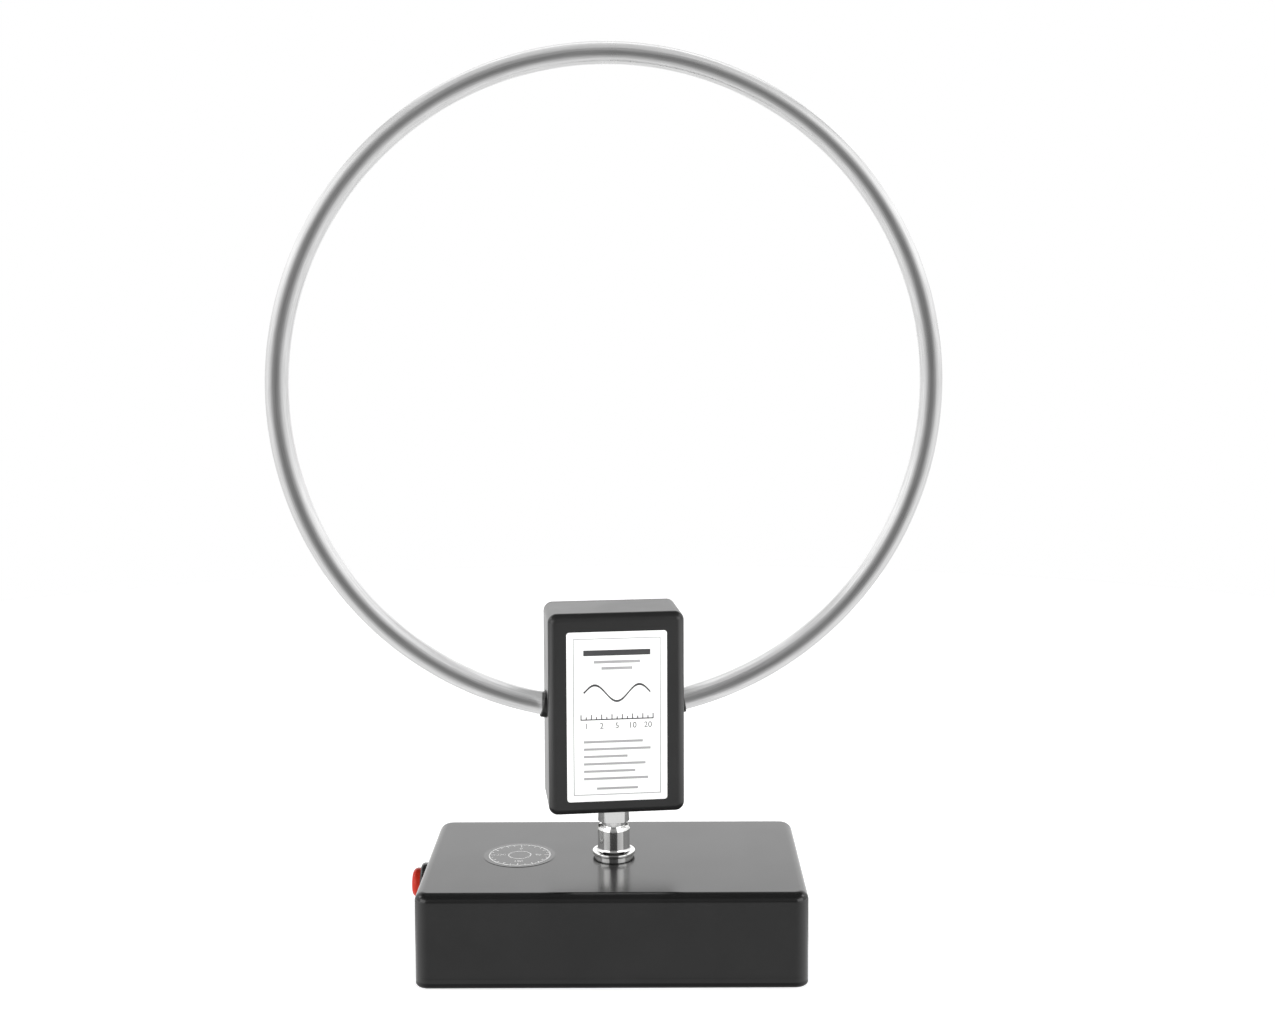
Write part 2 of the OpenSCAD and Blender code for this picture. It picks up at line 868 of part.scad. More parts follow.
module power_switch_nut() {
    color("#202020")
        on_left_side()
            translate([0, 0, -wall - nut_h])
                hex_nut(bushing_r + seat_clear, switch_nut_flats, nut_h);
}

module power_switch_terminals() {
    color("#c9c4b6")
        on_left_side()
            for (side = [-1, 1])
                translate([0, side * switch_block_w / 4, -switch_depth - terminal_len / 2])
                    cube([terminal_w, terminal_t, terminal_len], center = true);
}

// Two wires from the switch to the board
module power_switch_wires() {
    start_x = switch_depth + terminal_len - base_w / 2;
    pad_x = max(start_x, pad_inset - base_board_w / 2) + lead_reach;
    color("#b03028")
        for (side = [-1, 1]) {
            y = switch_y + side * switch_block_w / 4;
            wire([[start_x, y, switch_z], [pad_x, y, switch_z], [pad_x, y, board_top]]);
        }
}

// Red push button with its guide stem
module power_switch_cap() {
    color("#c81e1e")
        on_left_side() {
            translate([0, 0, cap_low])
                soft_turning(cap_r, bezel_h + cap_proud - cap_low, 0, cap_round);
            translate([0, 0, cap_stem_end])
                cylinder(r = cap_stem_r, h = cap_low - cap_stem_end);
        }
}

// Fixed half of the connector, screwed into the base box's top
module plug_body() {
    color("#c8cacc")
        on_base_top()
            difference() {
                union() {
                    translate([0, 0, -stem_len])
                        cylinder(r = stem_r, h = stem_len);
                    cylinder(r = plug_flange_r, h = plug_flange_t);
                    translate([0, 0, plug_flange_t])
                        cylinder(r = neck_r, h = neck_len);
                    translate([0, 0, shoulder_low])
                        cylinder(r = shoulder_r, h = shoulder_t);
                    translate([0, 0, shoulder_top])
                        cylinder(r = plug_tube_r, h = plug_tube_len);
                }
                translate([0, 0, -stem_len - cut])
                    cylinder(r = plug_bore_r, h = stem_len + shoulder_top + plug_tube_len + 2 * cut);
            }
}

module plug_washer() {
    color("#b9bcbf")
        on_base_top()
            stem_washer();
}

module plug_nut() {
    color("#c8cacc")
        on_base_top()
            stem_nut();
}

module plug_insulator() {
    top = shoulder_top + plug_insulator_rise;
    color("#efece4")
        on_base_top()
            translate([0, 0, -stem_len])
                ring(plug_bore_r - seat_clear, pin_r + seat_clear, stem_len + top);
}

module plug_pin() {
    color("#d9b44a")
        on_base_top()
            translate([0, 0, -stem_len - tail_len])
                cylinder(r = pin_r, h = stem_len + tail_len + shoulder_top + plug_tube_len);
}

// Wire from the plug's pin straight down to the board
module plug_lead() {
    color("#e2e2e2")
        wire([[0, 0, base_h - stem_len - tail_len], [0, 0, board_top]]);
}

module round_sticker() {
    color("#b4b4b4")
        translate([-sticker_x, 0, base_h])
            cylinder(r = sticker_d / 2, h = film_t);
}

// Groove that leads a lug from the rim, along its slope and down to where it locks
module bayonet_groove() {
    steps = 6;
    step_overlap = 0.6;
    step = bayonet_twist / steps;
    depth = groove_r - neck_r;
    run = groove_r * step * PI / 180;
    slope = atan(bayonet_rise / (groove_r * bayonet_twist * PI / 180));
    for (i = [0:steps - 1])
        rotate([0, 0, (i + 0.5) * step - bayonet_twist])
            translate([neck_r + depth / 2, 0, lug_z + (i + 0.5) * bayonet_rise / steps])
                rotate([slope, 0, 0])
                    cube([depth, run + step_overlap, groove_w], center = true);
    rotate([0, 0, -bayonet_twist])
        translate([neck_r + depth / 2, 0, lug_z])
            cube([depth, groove_w, groove_w], center = true);
    translate([neck_r, -groove_w / 2, lug_z + bayonet_rise - groove_w / 2])
        cube([depth, groove_w, rim_z]);
    translate([neck_r, 0, rim_z])
        rotate([90, 0, 90])
            linear_extrude(sleeve_r)
                polygon([[-groove_w * 0.8, cut], [0, -groove_w * 0.8], [groove_w * 0.8, cut]]);
}

// Smooth coupling sleeve that locks the head's jack on the plug
module coupling_sleeve() {
    slope_low = sleeve_low + grip_h;
    slope_top = slope_low + grip_slope_h;
    grip_chamfer = 0.3;
    color("#d4d6d8")
        on_coupling()
            difference() {
                rotate_extrude()
                    polygon([
                        [0, sleeve_low], [grip_r - grip_chamfer, sleeve_low],
                        [grip_r, sleeve_low + grip_chamfer], [grip_r, slope_low], [sleeve_r, slope_top],
                        [sleeve_r, rim_z - rim_slope_h], [sleeve_r - rim_slope_in, rim_z], [0, rim_z]
                    ]);
                translate([0, 0, sleeve_low - cut])
                    cylinder(r = barrel_r + run_clear, h = sleeve_len + 2 * cut);
                translate([0, 0, sleeve_low - cut])
                    cylinder(r = shoulder_r + run_clear, h = shoulder_top - sleeve_low + cut + sleeve_gap);
                translate([0, 0, snap_low - seat_clear])
                    cylinder(r = shoulder_r + snap_ring_t, h = snap_ring_t + 2 * seat_clear);
                for (turn = [0, 180])
                    rotate([0, 0, turn])
                        bayonet_groove();
            }
}

// Split ring in the sleeve's foot that keeps the sleeve on the plug's shoulder
module coupling_snap_ring() {
    color("#9a9da0")
        on_coupling()
            translate([0, 0, snap_low])
                rotate_extrude(angle = 330)
                    translate([neck_r + run_clear, 0])
                        square([shoulder_r + snap_ring_t - seat_clear - neck_r - run_clear, snap_ring_t]);
}

module coupling_gasket() {
    color("#b4502e")
        on_coupling()
            translate([0, 0, shoulder_top])
                ring(barrel_r - run_clear, plug_tube_r + run_clear, gasket_t);
}

module head_case() {
    posts = board_corners(head_board_w / 2 - board_post_inset, head_board_margin + board_post_inset,
        head_h - head_board_margin - board_post_inset);
    front = wall - head_d / 2;
    color("#3c3c3c")
        difference() {
            union() {
                in_head_box()
                    case_shell(head_w, head_h, head_d, head_corner_r, head_edge_r);
                on_head()
                    for (place = posts)
                        translate([place.x, front, place.y])
                            rotate([-90, 0, 0])
                                cylinder(r = post_r, h = head_board_y - front);
            }
            head_jack_frame()
                translate([0, 0, -wall - cut])
                    cylinder(r = stem_r + hole_clear, h = wall + 2 * cut);
            for (side = [-1, 1])
                at_loop_entry(side)
                    rotate([0, 90 - entry_tilt, 0])
                        cylinder(r = grommet_r + seat_clear, h = 4 * wall, center = true);
            on_head()
                for (place = posts)
                    translate([place.x, head_board_y + board_t - board_screw_len - screw_end_gap, place.y])
                        rotate([-90, 0, 0])
                            cylinder(r = board_screw_r + hole_clear, h = board_screw_len + cut);
        }
}

module head_rear_cover() {
    color("#383838")
        in_head_box()
            cover_plate(head_w, head_h, head_corner_r, head_edge_r);
}

module head_cover_screws() {
    color("#8d9094")
        in_head_box()
            cover_screw_set(head_w, head_h);
}

module head_board() {
    color("#1f5a3a")
        on_head()
            difference() {
                translate([-head_board_w / 2, head_board_y, head_board_margin])
                    cube([head_board_w, board_t, head_board_h]);
                for (place = board_corners(head_board_w / 2 - board_post_inset,
                        head_board_margin + board_post_inset, head_h - head_board_margin - board_post_inset))
                    translate([place.x, head_board_y - cut, place.y])
                        rotate([-90, 0, 0])
                            cylinder(r = board_screw_r + hole_clear, h = board_t + 2 * cut);
                for (side = [-1, 1])
                    translate([side * terminal_x, head_board_y - cut, tube_z(terminal_x)])
                        rotate([-90, 0, 0])
                            cylinder(r = terminal_screw_r + hole_clear, h = board_t + 2 * cut);
            }
}

module head_board_screws() {
    color("#8d9094")
        on_head()
            for (place = board_corners(head_board_w / 2 - board_post_inset,
                    head_board_margin + board_post_inset, head_h - head_board_margin - board_post_inset))
                translate([place.x, head_board_y + board_t, place.y])
                    rotate([90, 0, 0])
                        pan_screw(board_screw_r, board_screw_head_r, board_screw_head_h, board_screw_len);
}

// Parts of the input stage, on the front of the head board
module head_board_parts() {
    color("#2a2a2a")
        on_head()
            translate([0, head_board_y, 0])
                rotate([90, 0, 0])
                    board_parts(head_chips, head_cans);
}

// Ring core of the loop's matching transformer, its axis along Y
module balun_core() {
    color("#4a4a48")
        on_head()
            translate([0, head_board_y - winding_t - seat_clear, core_z])
                rotate([90, 0, 0])
                    ring(core_r, core_bore_r, core_h);
}

// Two windings on the core, each the closed sleeve that its turns fill
module balun_windings() {
    inner = core_bore_r - seat_clear;
    outer = core_r + seat_clear;
    reach = core_h + 2 * seat_clear;
    color("#a5552a")
        on_head()
            translate([0, head_board_y - winding_t, core_z])
                rotate([90, 0, 0])
                    for (turn = [20, 200])
                        rotate([0, 0, turn])
                            rotate_extrude(angle = 140)
                                difference() {
                                    translate([inner - winding_t, -winding_t])
                                        square([outer - inner + 2 * winding_t, reach + 2 * winding_t]);
                                    translate([inner, 0])
                                        square([outer - inner, reach]);
                                }
}

// Ring of bare metal tube, open where its two ends meet the terminals
module loop_tube() {
    color("#c3c5c7")
        on_head()
            difference() {
                translate([0, 0, ring_z])
                    rotate([90, 0, 0])
                        rotate([0, 0, gap_angle - 90])
                            rotate_extrude(angle = 360 - 2 * gap_angle)
                                translate([loop_r, 0])
                                    difference() {
                                        circle(tube_r);
                                        circle(tube_r - tube_wall);
                                    }
                for (side = [-1, 1])
                    translate([side * terminal_x, 0, tube_z(terminal_x)])
                        rotate([90, 0, 0])
                            cylinder(r = terminal_screw_r + hole_clear, h = 2 * tube_d, center = true);
            }
}

// Rubber sleeve round the tube, with a flange behind the head box's wall
module loop_grommet(side) {
    color("#141414")
        at_loop_entry(side)
            difference() {
                union() {
                    rotate([0, 90 - entry_tilt, 0])
                        translate([0, 0, -grommet_reach])
                            soft_turning(grommet_r, grommet_reach + grommet_proud, 0, grommet_wall * 0.6);
                    translate([-grommet_reach, 0, 0])
                        rotate([0, 90, 0])
                            cylinder(r = grommet_r + grommet_flange_w, h = grommet_flange_t);
                }
                rotate([0, 90 - entry_tilt, 0])
                    cylinder(r = tube_r + grommet_clear, h = 4 * grommet_reach, center = true);
            }
}

module loop_grommet_left() {
    loop_grommet(-1);
}

module loop_grommet_right() {
    loop_grommet(1);
}

// Runs its children at the two terminals, with +Z running backwards from the tube's front
module at_terminals() {
    on_head()
        for (side = [-1, 1])
            translate([side * terminal_x, -tube_r, tube_z(terminal_x)])
                rotate([-90, 0, 0])
                    children();
}

module loop_terminal_screws() {
    reach = tube_d + tag_t + board_t + nut_h + cut;
    color("#8d9094")
        at_terminals()
            pan_screw(terminal_screw_r, terminal_head_r, terminal_head_h, reach);
}

module loop_terminal_nuts() {
    color("#8d9094")
        at_terminals()
            translate([0, 0, tube_d + tag_t + board_t])
                hex_nut(terminal_screw_r + seat_clear, 2 * terminal_head_r, nut_h);
}

module loop_terminal_tags() {
    color("#c9c4b6")
        at_terminals()
            translate([0, 0, tube_d])
                ring(terminal_head_r + tag_margin, terminal_screw_r + hole_clear, tag_t);
}

module head_jack_body() {
    color("#c8cacc")
        head_jack_frame()
            jack_body(head_collar_len, bayonet_twist);
}

module head_jack_insulator() {
    color("#efece4")
        head_jack_frame()
            jack_insulator(head_collar_len);
}

module head_jack_contact() {
    color("#d9b44a")
        head_jack_frame()
            jack_contact(head_collar_len);
}

module head_jack_washer() {
    color("#b9bcbf")
        head_jack_frame()
            stem_washer();
}

module head_jack_nut() {
    color("#c8cacc")
        head_jack_frame()
            stem_nut();
}

// Wire from the jack's tail up and back to the head board
module head_jack_lead() {
    tail_z = stem_len + tail_len;
    pad_z = max(tail_z, head_board_margin) + pad_inset;
    color("#e2e2e2")
        on_head()
            wire([[0, 0, tail_z], [0, 0, pad_z], [0, head_board_y, pad_z]]);
}

module front_label() {
    color("#e9e9e9")
        on_head()
            translate([0, -head_d / 2, label_low + label_h / 2])
                rotate([90, 0, 0])
                    rounded_plate(label_w, label_h, film_t, label_r);
}

base_case();
base_bottom_cover();
base_cover_screws();
base_board();
base_board_screws();
base_board_parts();
battery_holder();
battery_cell();
battery_contacts();
charge_socket_shell();
charge_socket_tongue();
output_jack_body();
output_jack_insulator();
output_jack_contact();
output_jack_washer();
output_jack_nut();
output_lead();
power_switch_body();
power_switch_nut();
power_switch_terminals();
power_switch_wires();
power_switch_cap();
plug_body();
plug_washer();
plug_nut();
plug_insulator();
plug_pin();
plug_lead();
round_sticker();
coupling_sleeve();
coupling_snap_ring();
coupling_gasket();
head_case();
head_rear_cover();
head_cover_screws();
head_board();
head_board_screws();
head_board_parts();
balun_core();
balun_windings();
loop_tube();
loop_grommet_left();
loop_grommet_right();
loop_terminal_screws();
loop_terminal_nuts();
loop_terminal_tags();
head_jack_body();
head_jack_insulator();
head_jack_contact();
head_jack_washer();
head_jack_nut();
head_jack_lead();
front_label();
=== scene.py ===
import json
import math

import bmesh
import bpy
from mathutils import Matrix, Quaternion, Vector


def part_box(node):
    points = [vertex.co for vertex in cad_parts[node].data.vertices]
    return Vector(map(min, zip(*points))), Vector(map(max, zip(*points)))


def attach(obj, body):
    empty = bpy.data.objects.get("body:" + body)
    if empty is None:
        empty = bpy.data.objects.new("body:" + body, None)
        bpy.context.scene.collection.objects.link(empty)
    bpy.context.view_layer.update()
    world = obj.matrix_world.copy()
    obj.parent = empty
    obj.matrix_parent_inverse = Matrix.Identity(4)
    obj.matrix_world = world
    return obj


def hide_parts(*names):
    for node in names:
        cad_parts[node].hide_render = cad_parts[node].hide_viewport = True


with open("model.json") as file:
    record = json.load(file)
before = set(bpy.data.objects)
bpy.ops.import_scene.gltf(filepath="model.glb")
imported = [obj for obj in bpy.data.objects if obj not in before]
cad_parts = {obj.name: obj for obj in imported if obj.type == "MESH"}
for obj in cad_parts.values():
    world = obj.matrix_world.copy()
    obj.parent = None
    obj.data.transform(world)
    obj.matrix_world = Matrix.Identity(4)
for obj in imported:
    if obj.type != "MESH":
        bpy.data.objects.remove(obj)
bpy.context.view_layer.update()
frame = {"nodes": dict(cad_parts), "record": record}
nodes = frame["nodes"]
mm = 0.001
near = 0.002 * mm  # points closer than this count as one
mostly = 0.99  # an edge runs along an axis when this share of its length does
upward = Vector((0, 0, 1))


# Small tools for modelling by hand


def clearSelection():
    if bpy.context.mode != "OBJECT":
        bpy.ops.object.mode_set(mode="OBJECT")
    bpy.ops.object.select_all(action="DESELECT")


def activate(piece):
    clearSelection()
    piece.select_set(True)
    bpy.context.view_layer.objects.active = piece


def enterEdit(piece):
    activate(piece)
    bpy.ops.object.mode_set(mode="EDIT")
    bpy.ops.mesh.select_all(action="SELECT")


def leaveEdit():
    bpy.ops.object.mode_set(mode="OBJECT")


def settle(piece):
    activate(piece)  # puts the piece's place into its mesh
    bpy.ops.object.transform_apply(location=True, rotation=True, scale=True)
    return piece


def takeNew(name):
    piece = bpy.context.active_object
    piece.name = piece.data.name = name
    return settle(piece)


def pick(piece, kind, test):
    bpy.ops.mesh.select_mode(type=kind)
    bpy.ops.mesh.select_all(action="DESELECT")
    mesh = bmesh.from_edit_mesh(piece.data)
    for part in {"EDGE": mesh.edges, "FACE": mesh.faces}[kind]:
        if test(part):
            part.select_set(True)
    bmesh.update_edit_mesh(piece.data)


def liesAt(part, axis, place):
    return all(abs(v.co[axis] - place) < near for v in part.verts)


def runsAlong(edge, axis):
    run = edge.verts[0].co - edge.verts[1].co
    return abs(run[axis]) > mostly * run.length


def applyModifier(piece, kind, **settings):
    activate(piece)
    modifier = piece.modifiers.new(kind.lower(), kind)
    for key, value in settings.items():
        setattr(modifier, key, value)
    bpy.ops.object.modifier_apply(modifier=modifier.name)


def cutAway(piece, *cutters):
    for cutter in cutters:
        applyModifier(piece, "BOOLEAN", object=cutter, operation="DIFFERENCE", solver="EXACT")
        bpy.data.objects.remove(cutter)


def joinAll(first, *others):
    activate(first)
    for other in others:
        other.select_set(True)
    bpy.ops.object.join()
    return first


def copyOf(piece, name):
    twin = piece.copy()
    twin.data = piece.data.copy()
    twin.name = twin.data.name = name
    bpy.context.scene.collection.objects.link(twin)
    return twin


def boxPiece(name, low, high):
    clearSelection()
    low, high = Vector(low), Vector(high)
    bpy.ops.mesh.primitive_cube_add(size=1, location=(low + high) / 2, scale=high - low)
    return takeNew(name)


def roundedBox(name, low, high, along, shape, rimEnd):
    # rounds the edges along one axis, then those round its outer end; the other end gets a seam chamfer
    piece = boxPiece(name, low, high)
    ends = {1: high[along], -1: low[along]}
    enterEdit(piece)
    pick(piece, "EDGE", lambda edge: runsAlong(edge, along))
    bpy.ops.mesh.bevel(offset=shape["corner"] * mm, segments=shape["cornerSteps"], affect="EDGES")
    pick(piece, "EDGE", lambda edge: liesAt(edge, along, ends[rimEnd]))
    bpy.ops.mesh.bevel(offset=shape["edge"] * mm, segments=shape["edgeSteps"], affect="EDGES")
    pick(piece, "EDGE", lambda edge: liesAt(edge, along, ends[-rimEnd]))
    bpy.ops.mesh.bevel(offset=shape["seam"] * mm, segments=1, affect="EDGES")
    leaveEdit()
    return piece


def hollowOut(piece, along, end, wall):
    enterEdit(piece)
    pick(piece, "FACE", lambda face: liesAt(face, along, end))
    bpy.ops.mesh.delete(type="FACE")
    leaveEdit()
    applyModifier(piece, "SOLIDIFY", thickness=wall * mm, offset=-1, use_even_offset=True)


def turned(name, rings, sides=96):
    # a circle drawn out ring by ring along +Z, as on a lathe; the sizes are in millimetres
    clearSelection()
    radius, height = rings[0]
    bpy.ops.mesh.primitive_circle_add(vertices=sides, radius=radius * mm, location=(0, 0, height * mm))
    piece = takeNew(name)
    enterEdit(piece)
    bpy.ops.mesh.select_mode(type="EDGE")
    bpy.ops.mesh.select_all(action="SELECT")
    for nextRadius, nextHeight in rings[1:]:
        rise = (0, 0, (nextHeight - height) * mm)
        bpy.ops.mesh.extrude_edges_move(TRANSFORM_OT_translate={"value": rise})
        if nextRadius == 0:
            bpy.ops.mesh.merge(type="CENTER")
        else:
            grow = nextRadius / radius
            bpy.ops.transform.resize(value=(grow, grow, 1), center_override=(0, 0, nextHeight * mm))
        radius, height = nextRadius, nextHeight
    bpy.ops.mesh.select_all(action="SELECT")
    bpy.ops.mesh.remove_doubles(threshold=near / 4)
    bpy.ops.mesh.fill_holes(sides=0)
    bpy.ops.mesh.normals_make_consistent(inside=False)
    leaveEdit()
    return piece


def arc(middleRadius, middleHeight, radius, start, end, steps=6):
    angles = [math.radians(start + (end - start) * i / steps) for i in range(steps + 1)]
    return [(middleRadius + radius * math.cos(a), middleHeight + radius * math.sin(a)) for a in angles]


def stand(piece, direction, place):
    # turns a piece made along +Z to its direction and moves its origin to its place
    piece.rotation_mode = "QUATERNION"
    piece.rotation_quaternion = upward.rotation_difference(Vector(direction))
    piece.location = place
    return settle(piece)


def lay(piece, turn, place=(0, 0, 0)):
    piece.rotation_mode = "XYZ"
    piece.rotation_euler = turn
    piece.location = place
    return settle(piece)


def swing(piece):
    # turns a piece that was made straight to the ring's heading
    return lay(piece, (0, 0, math.radians(ring["turn"])))


def rod(name, radius, direction, start, length, sides=48):
    direction = Vector(direction).normalized()
    clearSelection()
    bpy.ops.mesh.primitive_cylinder_add(vertices=sides, radius=radius * mm, depth=length * mm,
                                        location=(0, 0, length * mm / 2))
    return stand(takeNew(name), direction, start)


def softenEdges(piece, width, steps, angle):
    applyModifier(piece, "BEVEL", width=width * mm, segments=steps, limit_method="ANGLE",
                  angle_limit=math.radians(angle))


def cleanMesh(piece):
    # takes out the slivers that cutting and bevelling leave
    enterEdit(piece)
    bpy.ops.mesh.remove_doubles(threshold=near)
    bpy.ops.mesh.dissolve_degenerate(threshold=near)
    bpy.ops.mesh.delete_loose()
    bpy.ops.mesh.select_all(action="SELECT")
    bpy.ops.mesh.normals_make_consistent(inside=False)
    leaveEdit()


def finishPiece(piece, body, material, slot, *replaced, angle=32):
    settle(piece)
    cleanMesh(piece)
    bpy.ops.object.shade_smooth_by_angle(angle=math.radians(angle))
    applyModifier(piece, "WEIGHTED_NORMAL", keep_sharp=True)
    piece.data.materials.clear()
    piece.data.materials.append(material)
    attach(piece, body)
    if replaced:
        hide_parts(*replaced)
    return piece


# Shader groups that several finishes share


def addNode(tree, kind, values=None, **settings):
    item = tree.nodes.new("ShaderNode" + kind)
    for key, value in settings.items():
        setattr(item, key, value)
    for key, value in (values or {}).items():
        if isinstance(value, bpy.types.NodeSocket):
            tree.links.new(value, item.inputs[key])
        else:
            item.inputs[key].default_value = value
    return item


def newGroup(name, inputs, outputs):
    tree = bpy.data.node_groups.new(name, "ShaderNodeTree")
    for label, (kind, value) in inputs.items():
        socket = tree.interface.new_socket(label, in_out="INPUT", socket_type="NodeSocket" + kind)
        socket.default_value = value
    for label in outputs:
        tree.interface.new_socket(label, in_out="OUTPUT", socket_type="NodeSocketFloat")
    return tree, tree.nodes.new("NodeGroupInput")


def grainGroup():
    # moulded skin: a fine grain to feel and a broad mottle to see
    tree, source = newGroup("mouldedGrain", {"Grain Scale": ("Float", 4000.0),
                                             "Mottle Scale": ("Float", 40.0)}, ["Height", "Mottle"])
    place = addNode(tree, "TexCoord").outputs["Object"]
    fine = addNode(tree, "TexNoise", {"Vector": place, "Scale": source.outputs["Grain Scale"],
                                      "Detail": 3.0, "Roughness": 0.6})
    broad = addNode(tree, "TexNoise", {"Vector": place, "Scale": source.outputs["Mottle Scale"],
                                       "Detail": 4.0, "Roughness": 0.55, "Distortion": 0.4})
    end = tree.nodes.new("NodeGroupOutput")
    tree.links.new(fine.outputs["Fac"], end.inputs["Height"])
    tree.links.new(broad.outputs["Fac"], end.inputs["Mottle"])
    return tree


def handledGroup():
    # gloss that hands and cloths have left uneven, between two roughnesses
    tree, source = newGroup("handledGloss", {"Cleanest": ("Float", 0.2), "Dullest": ("Float", 0.4),
                                             "Patch Scale": ("Float", 30.0)}, ["Roughness"])
    place = addNode(tree, "TexCoord").outputs["Object"]
    patches = addNode(tree, "TexNoise", {"Vector": place, "Scale": source.outputs["Patch Scale"],
                                         "Detail": 6.0, "Roughness": 0.62, "Distortion": 0.8})
    span = {"Value": patches.outputs["Fac"], "From Min": 0.3, "From Max": 0.7,
            "To Min": source.outputs["Cleanest"], "To Max": source.outputs["Dullest"]}
    spread = addNode(tree, "MapRange", span, interpolation_type="SMOOTHSTEP")
    end = tree.nodes.new("NodeGroupOutput")
    tree.links.new(spread.outputs["Result"], end.inputs["Roughness"])
    return tree


def turnedGroup():
    # fine tool lines across an axis, as a lathe or a drawing die leaves them
    tree, source = newGroup("toolLines", {"Axis": ("Vector", (0, 0, 1)), "Lines": ("Float", 6000.0)},
                            ["Height", "Streak"])
    place = addNode(tree, "TexCoord").outputs["Object"]
    along = addNode(tree, "VectorMath", {0: place, 1: source.outputs["Axis"]}, operation="DOT_PRODUCT")
    lines = addNode(tree, "TexNoise", {"W": along.outputs["Value"], "Scale": source.outputs["Lines"],
                                       "Detail": 3.0, "Roughness": 0.7}, noise_dimensions="1D")
    broad = addNode(tree, "TexNoise", {"Vector": place, "Scale": 160.0, "Detail": 3.0})
    mixed = addNode(tree, "Math", {0: lines.outputs["Fac"], 1: broad.outputs["Fac"]}, operation="MULTIPLY")
    end = tree.nodes.new("NodeGroupOutput")
    tree.links.new(lines.outputs["Fac"], end.inputs["Height"])
    tree.links.new(mixed.outputs["Value"], end.inputs["Streak"])
    return tree


groups = {"grain": grainGroup(), "handled": handledGroup(), "lines": turnedGroup()}


def useGroup(tree, which, values):
    item = tree.nodes.new("ShaderNodeGroup")
    item.node_tree = groups[which]
    for key, value in values.items():
        item.inputs[key].default_value = value
    return item


def newFinish(name, **fixed):
    material = bpy.data.materials.new(name)
    material.use_nodes = True
    shader = material.node_tree.nodes["Principled BSDF"]
    for key, value in fixed.items():
        shader.inputs[key].default_value = value
    return material, material.node_tree, shader


def grey(level):
    return (level, level, level)


def colourFrom(tree, shader, mask, first, second, low=0.35, high=0.65):
    ramp = addNode(tree, "ValToRGB", {"Fac": mask})
    for element, place, colour in zip(ramp.color_ramp.elements, (low, high), (first, second)):
        element.position = place
        element.color = (*colour, 1)
    tree.links.new(ramp.outputs["Color"], shader.inputs["Base Color"])


def wearOn(tree, shader, gloss, patches):
    worn = useGroup(tree, "handled", {"Cleanest": gloss[0], "Dullest": gloss[1], "Patch Scale": patches})
    tree.links.new(worn.outputs["Roughness"], shader.inputs["Roughness"])


def bumpFrom(tree, shader, height, depth, strength=1.0):
    bump = addNode(tree, "Bump", {"Height": height, "Distance": depth * mm, "Strength": strength})
    tree.links.new(bump.outputs["Normal"], shader.inputs["Normal"])


def mouldedFinish(name, dark, light, gloss, grain=4500.0, depth=0.004, ior=1.5):
    material, tree, shader = newFinish(name, IOR=ior)
    skin = useGroup(tree, "grain", {"Grain Scale": grain, "Mottle Scale": 45.0})
    colourFrom(tree, shader, skin.outputs["Mottle"], dark, light)
    wearOn(tree, shader, gloss, patches=28.0)
    bumpFrom(tree, shader, skin.outputs["Height"], depth)
    return material


def metalFinish(name, dark, light, gloss, axis=(0, 0, 1), lines=5200.0, depth=0.0012):
    material, tree, shader = newFinish(name, Metallic=1.0)
    tool = useGroup(tree, "lines", {"Axis": axis, "Lines": lines})
    colourFrom(tree, shader, tool.outputs["Streak"], light, dark, low=0.2, high=0.5)
    wearOn(tree, shader, gloss, patches=90.0)
    bumpFrom(tree, shader, tool.outputs["Height"], depth)
    return material


ring = {"radius": 128.0, "tube": 4.5, "wall": 1.0, "gap": 16.0, "turn": 7.0, "steps": 320, "sides": 64,
        "lineStretch": 0.004}
ring["middle"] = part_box("loop_tube")[1].z / mm - ring["radius"] - ring["tube"]


def tubeFinish():
    # drawn tube: lines run along the ring, worked out from the place on it
    material, tree, shader = newFinish("drawnTube", Metallic=1.0)
    place = addNode(tree, "TexCoord").outputs["Object"]
    local = addNode(tree, "Mapping", {"Vector": place, "Location": (0, 0, ring["middle"] * mm),
                                      "Rotation": (0, 0, math.radians(ring["turn"]))}, vector_type="TEXTURE")
    parts = addNode(tree, "SeparateXYZ", {"Vector": local.outputs["Vector"]}).outputs
    angle = addNode(tree, "Math", {0: parts["X"], 1: parts["Z"]}, operation="ARCTAN2").outputs["Value"]
    flat = addNode(tree, "CombineXYZ", {"X": parts["X"], "Y": parts["Z"]}).outputs["Vector"]
    reach = addNode(tree, "VectorMath", {0: flat}, operation="LENGTH").outputs["Value"]
    length = addNode(tree, "Math", {0: angle, 1: ring["lineStretch"]}, operation="MULTIPLY").outputs["Value"]
    around = addNode(tree, "CombineXYZ", {"X": length, "Y": reach, "Z": parts["Y"]}).outputs["Vector"]
    lines = addNode(tree, "TexNoise", {"Vector": around, "Scale": 2600.0, "Detail": 3.0, "Roughness": 0.65})
    colourFrom(tree, shader, lines.outputs["Fac"], grey(0.66), grey(0.8))
    wearOn(tree, shader, gloss=(0.26, 0.34), patches=14.0)
    bumpFrom(tree, shader, lines.outputs["Fac"], depth=0.0003)
    return material


def boardFinish():
    # green lacquer over copper tracks, which show as a paler grid
    material, tree, shader = newFinish("boardLacquer", IOR=1.55)
    place = addNode(tree, "TexCoord").outputs["Object"]
    tracks = addNode(tree, "TexBrick", {"Vector": place, "Scale": 220.0, "Color1": (0.01, 0.11, 0.05, 1),
                                        "Color2": (0.012, 0.13, 0.06, 1), "Mortar": (0.03, 0.2, 0.09, 1)})
    tree.links.new(tracks.outputs["Color"], shader.inputs["Base Color"])
    wearOn(tree, shader, gloss=(0.25, 0.4), patches=60.0)
    bumpFrom(tree, shader, tracks.outputs["Fac"], depth=0.02, strength=0.5)
    return material


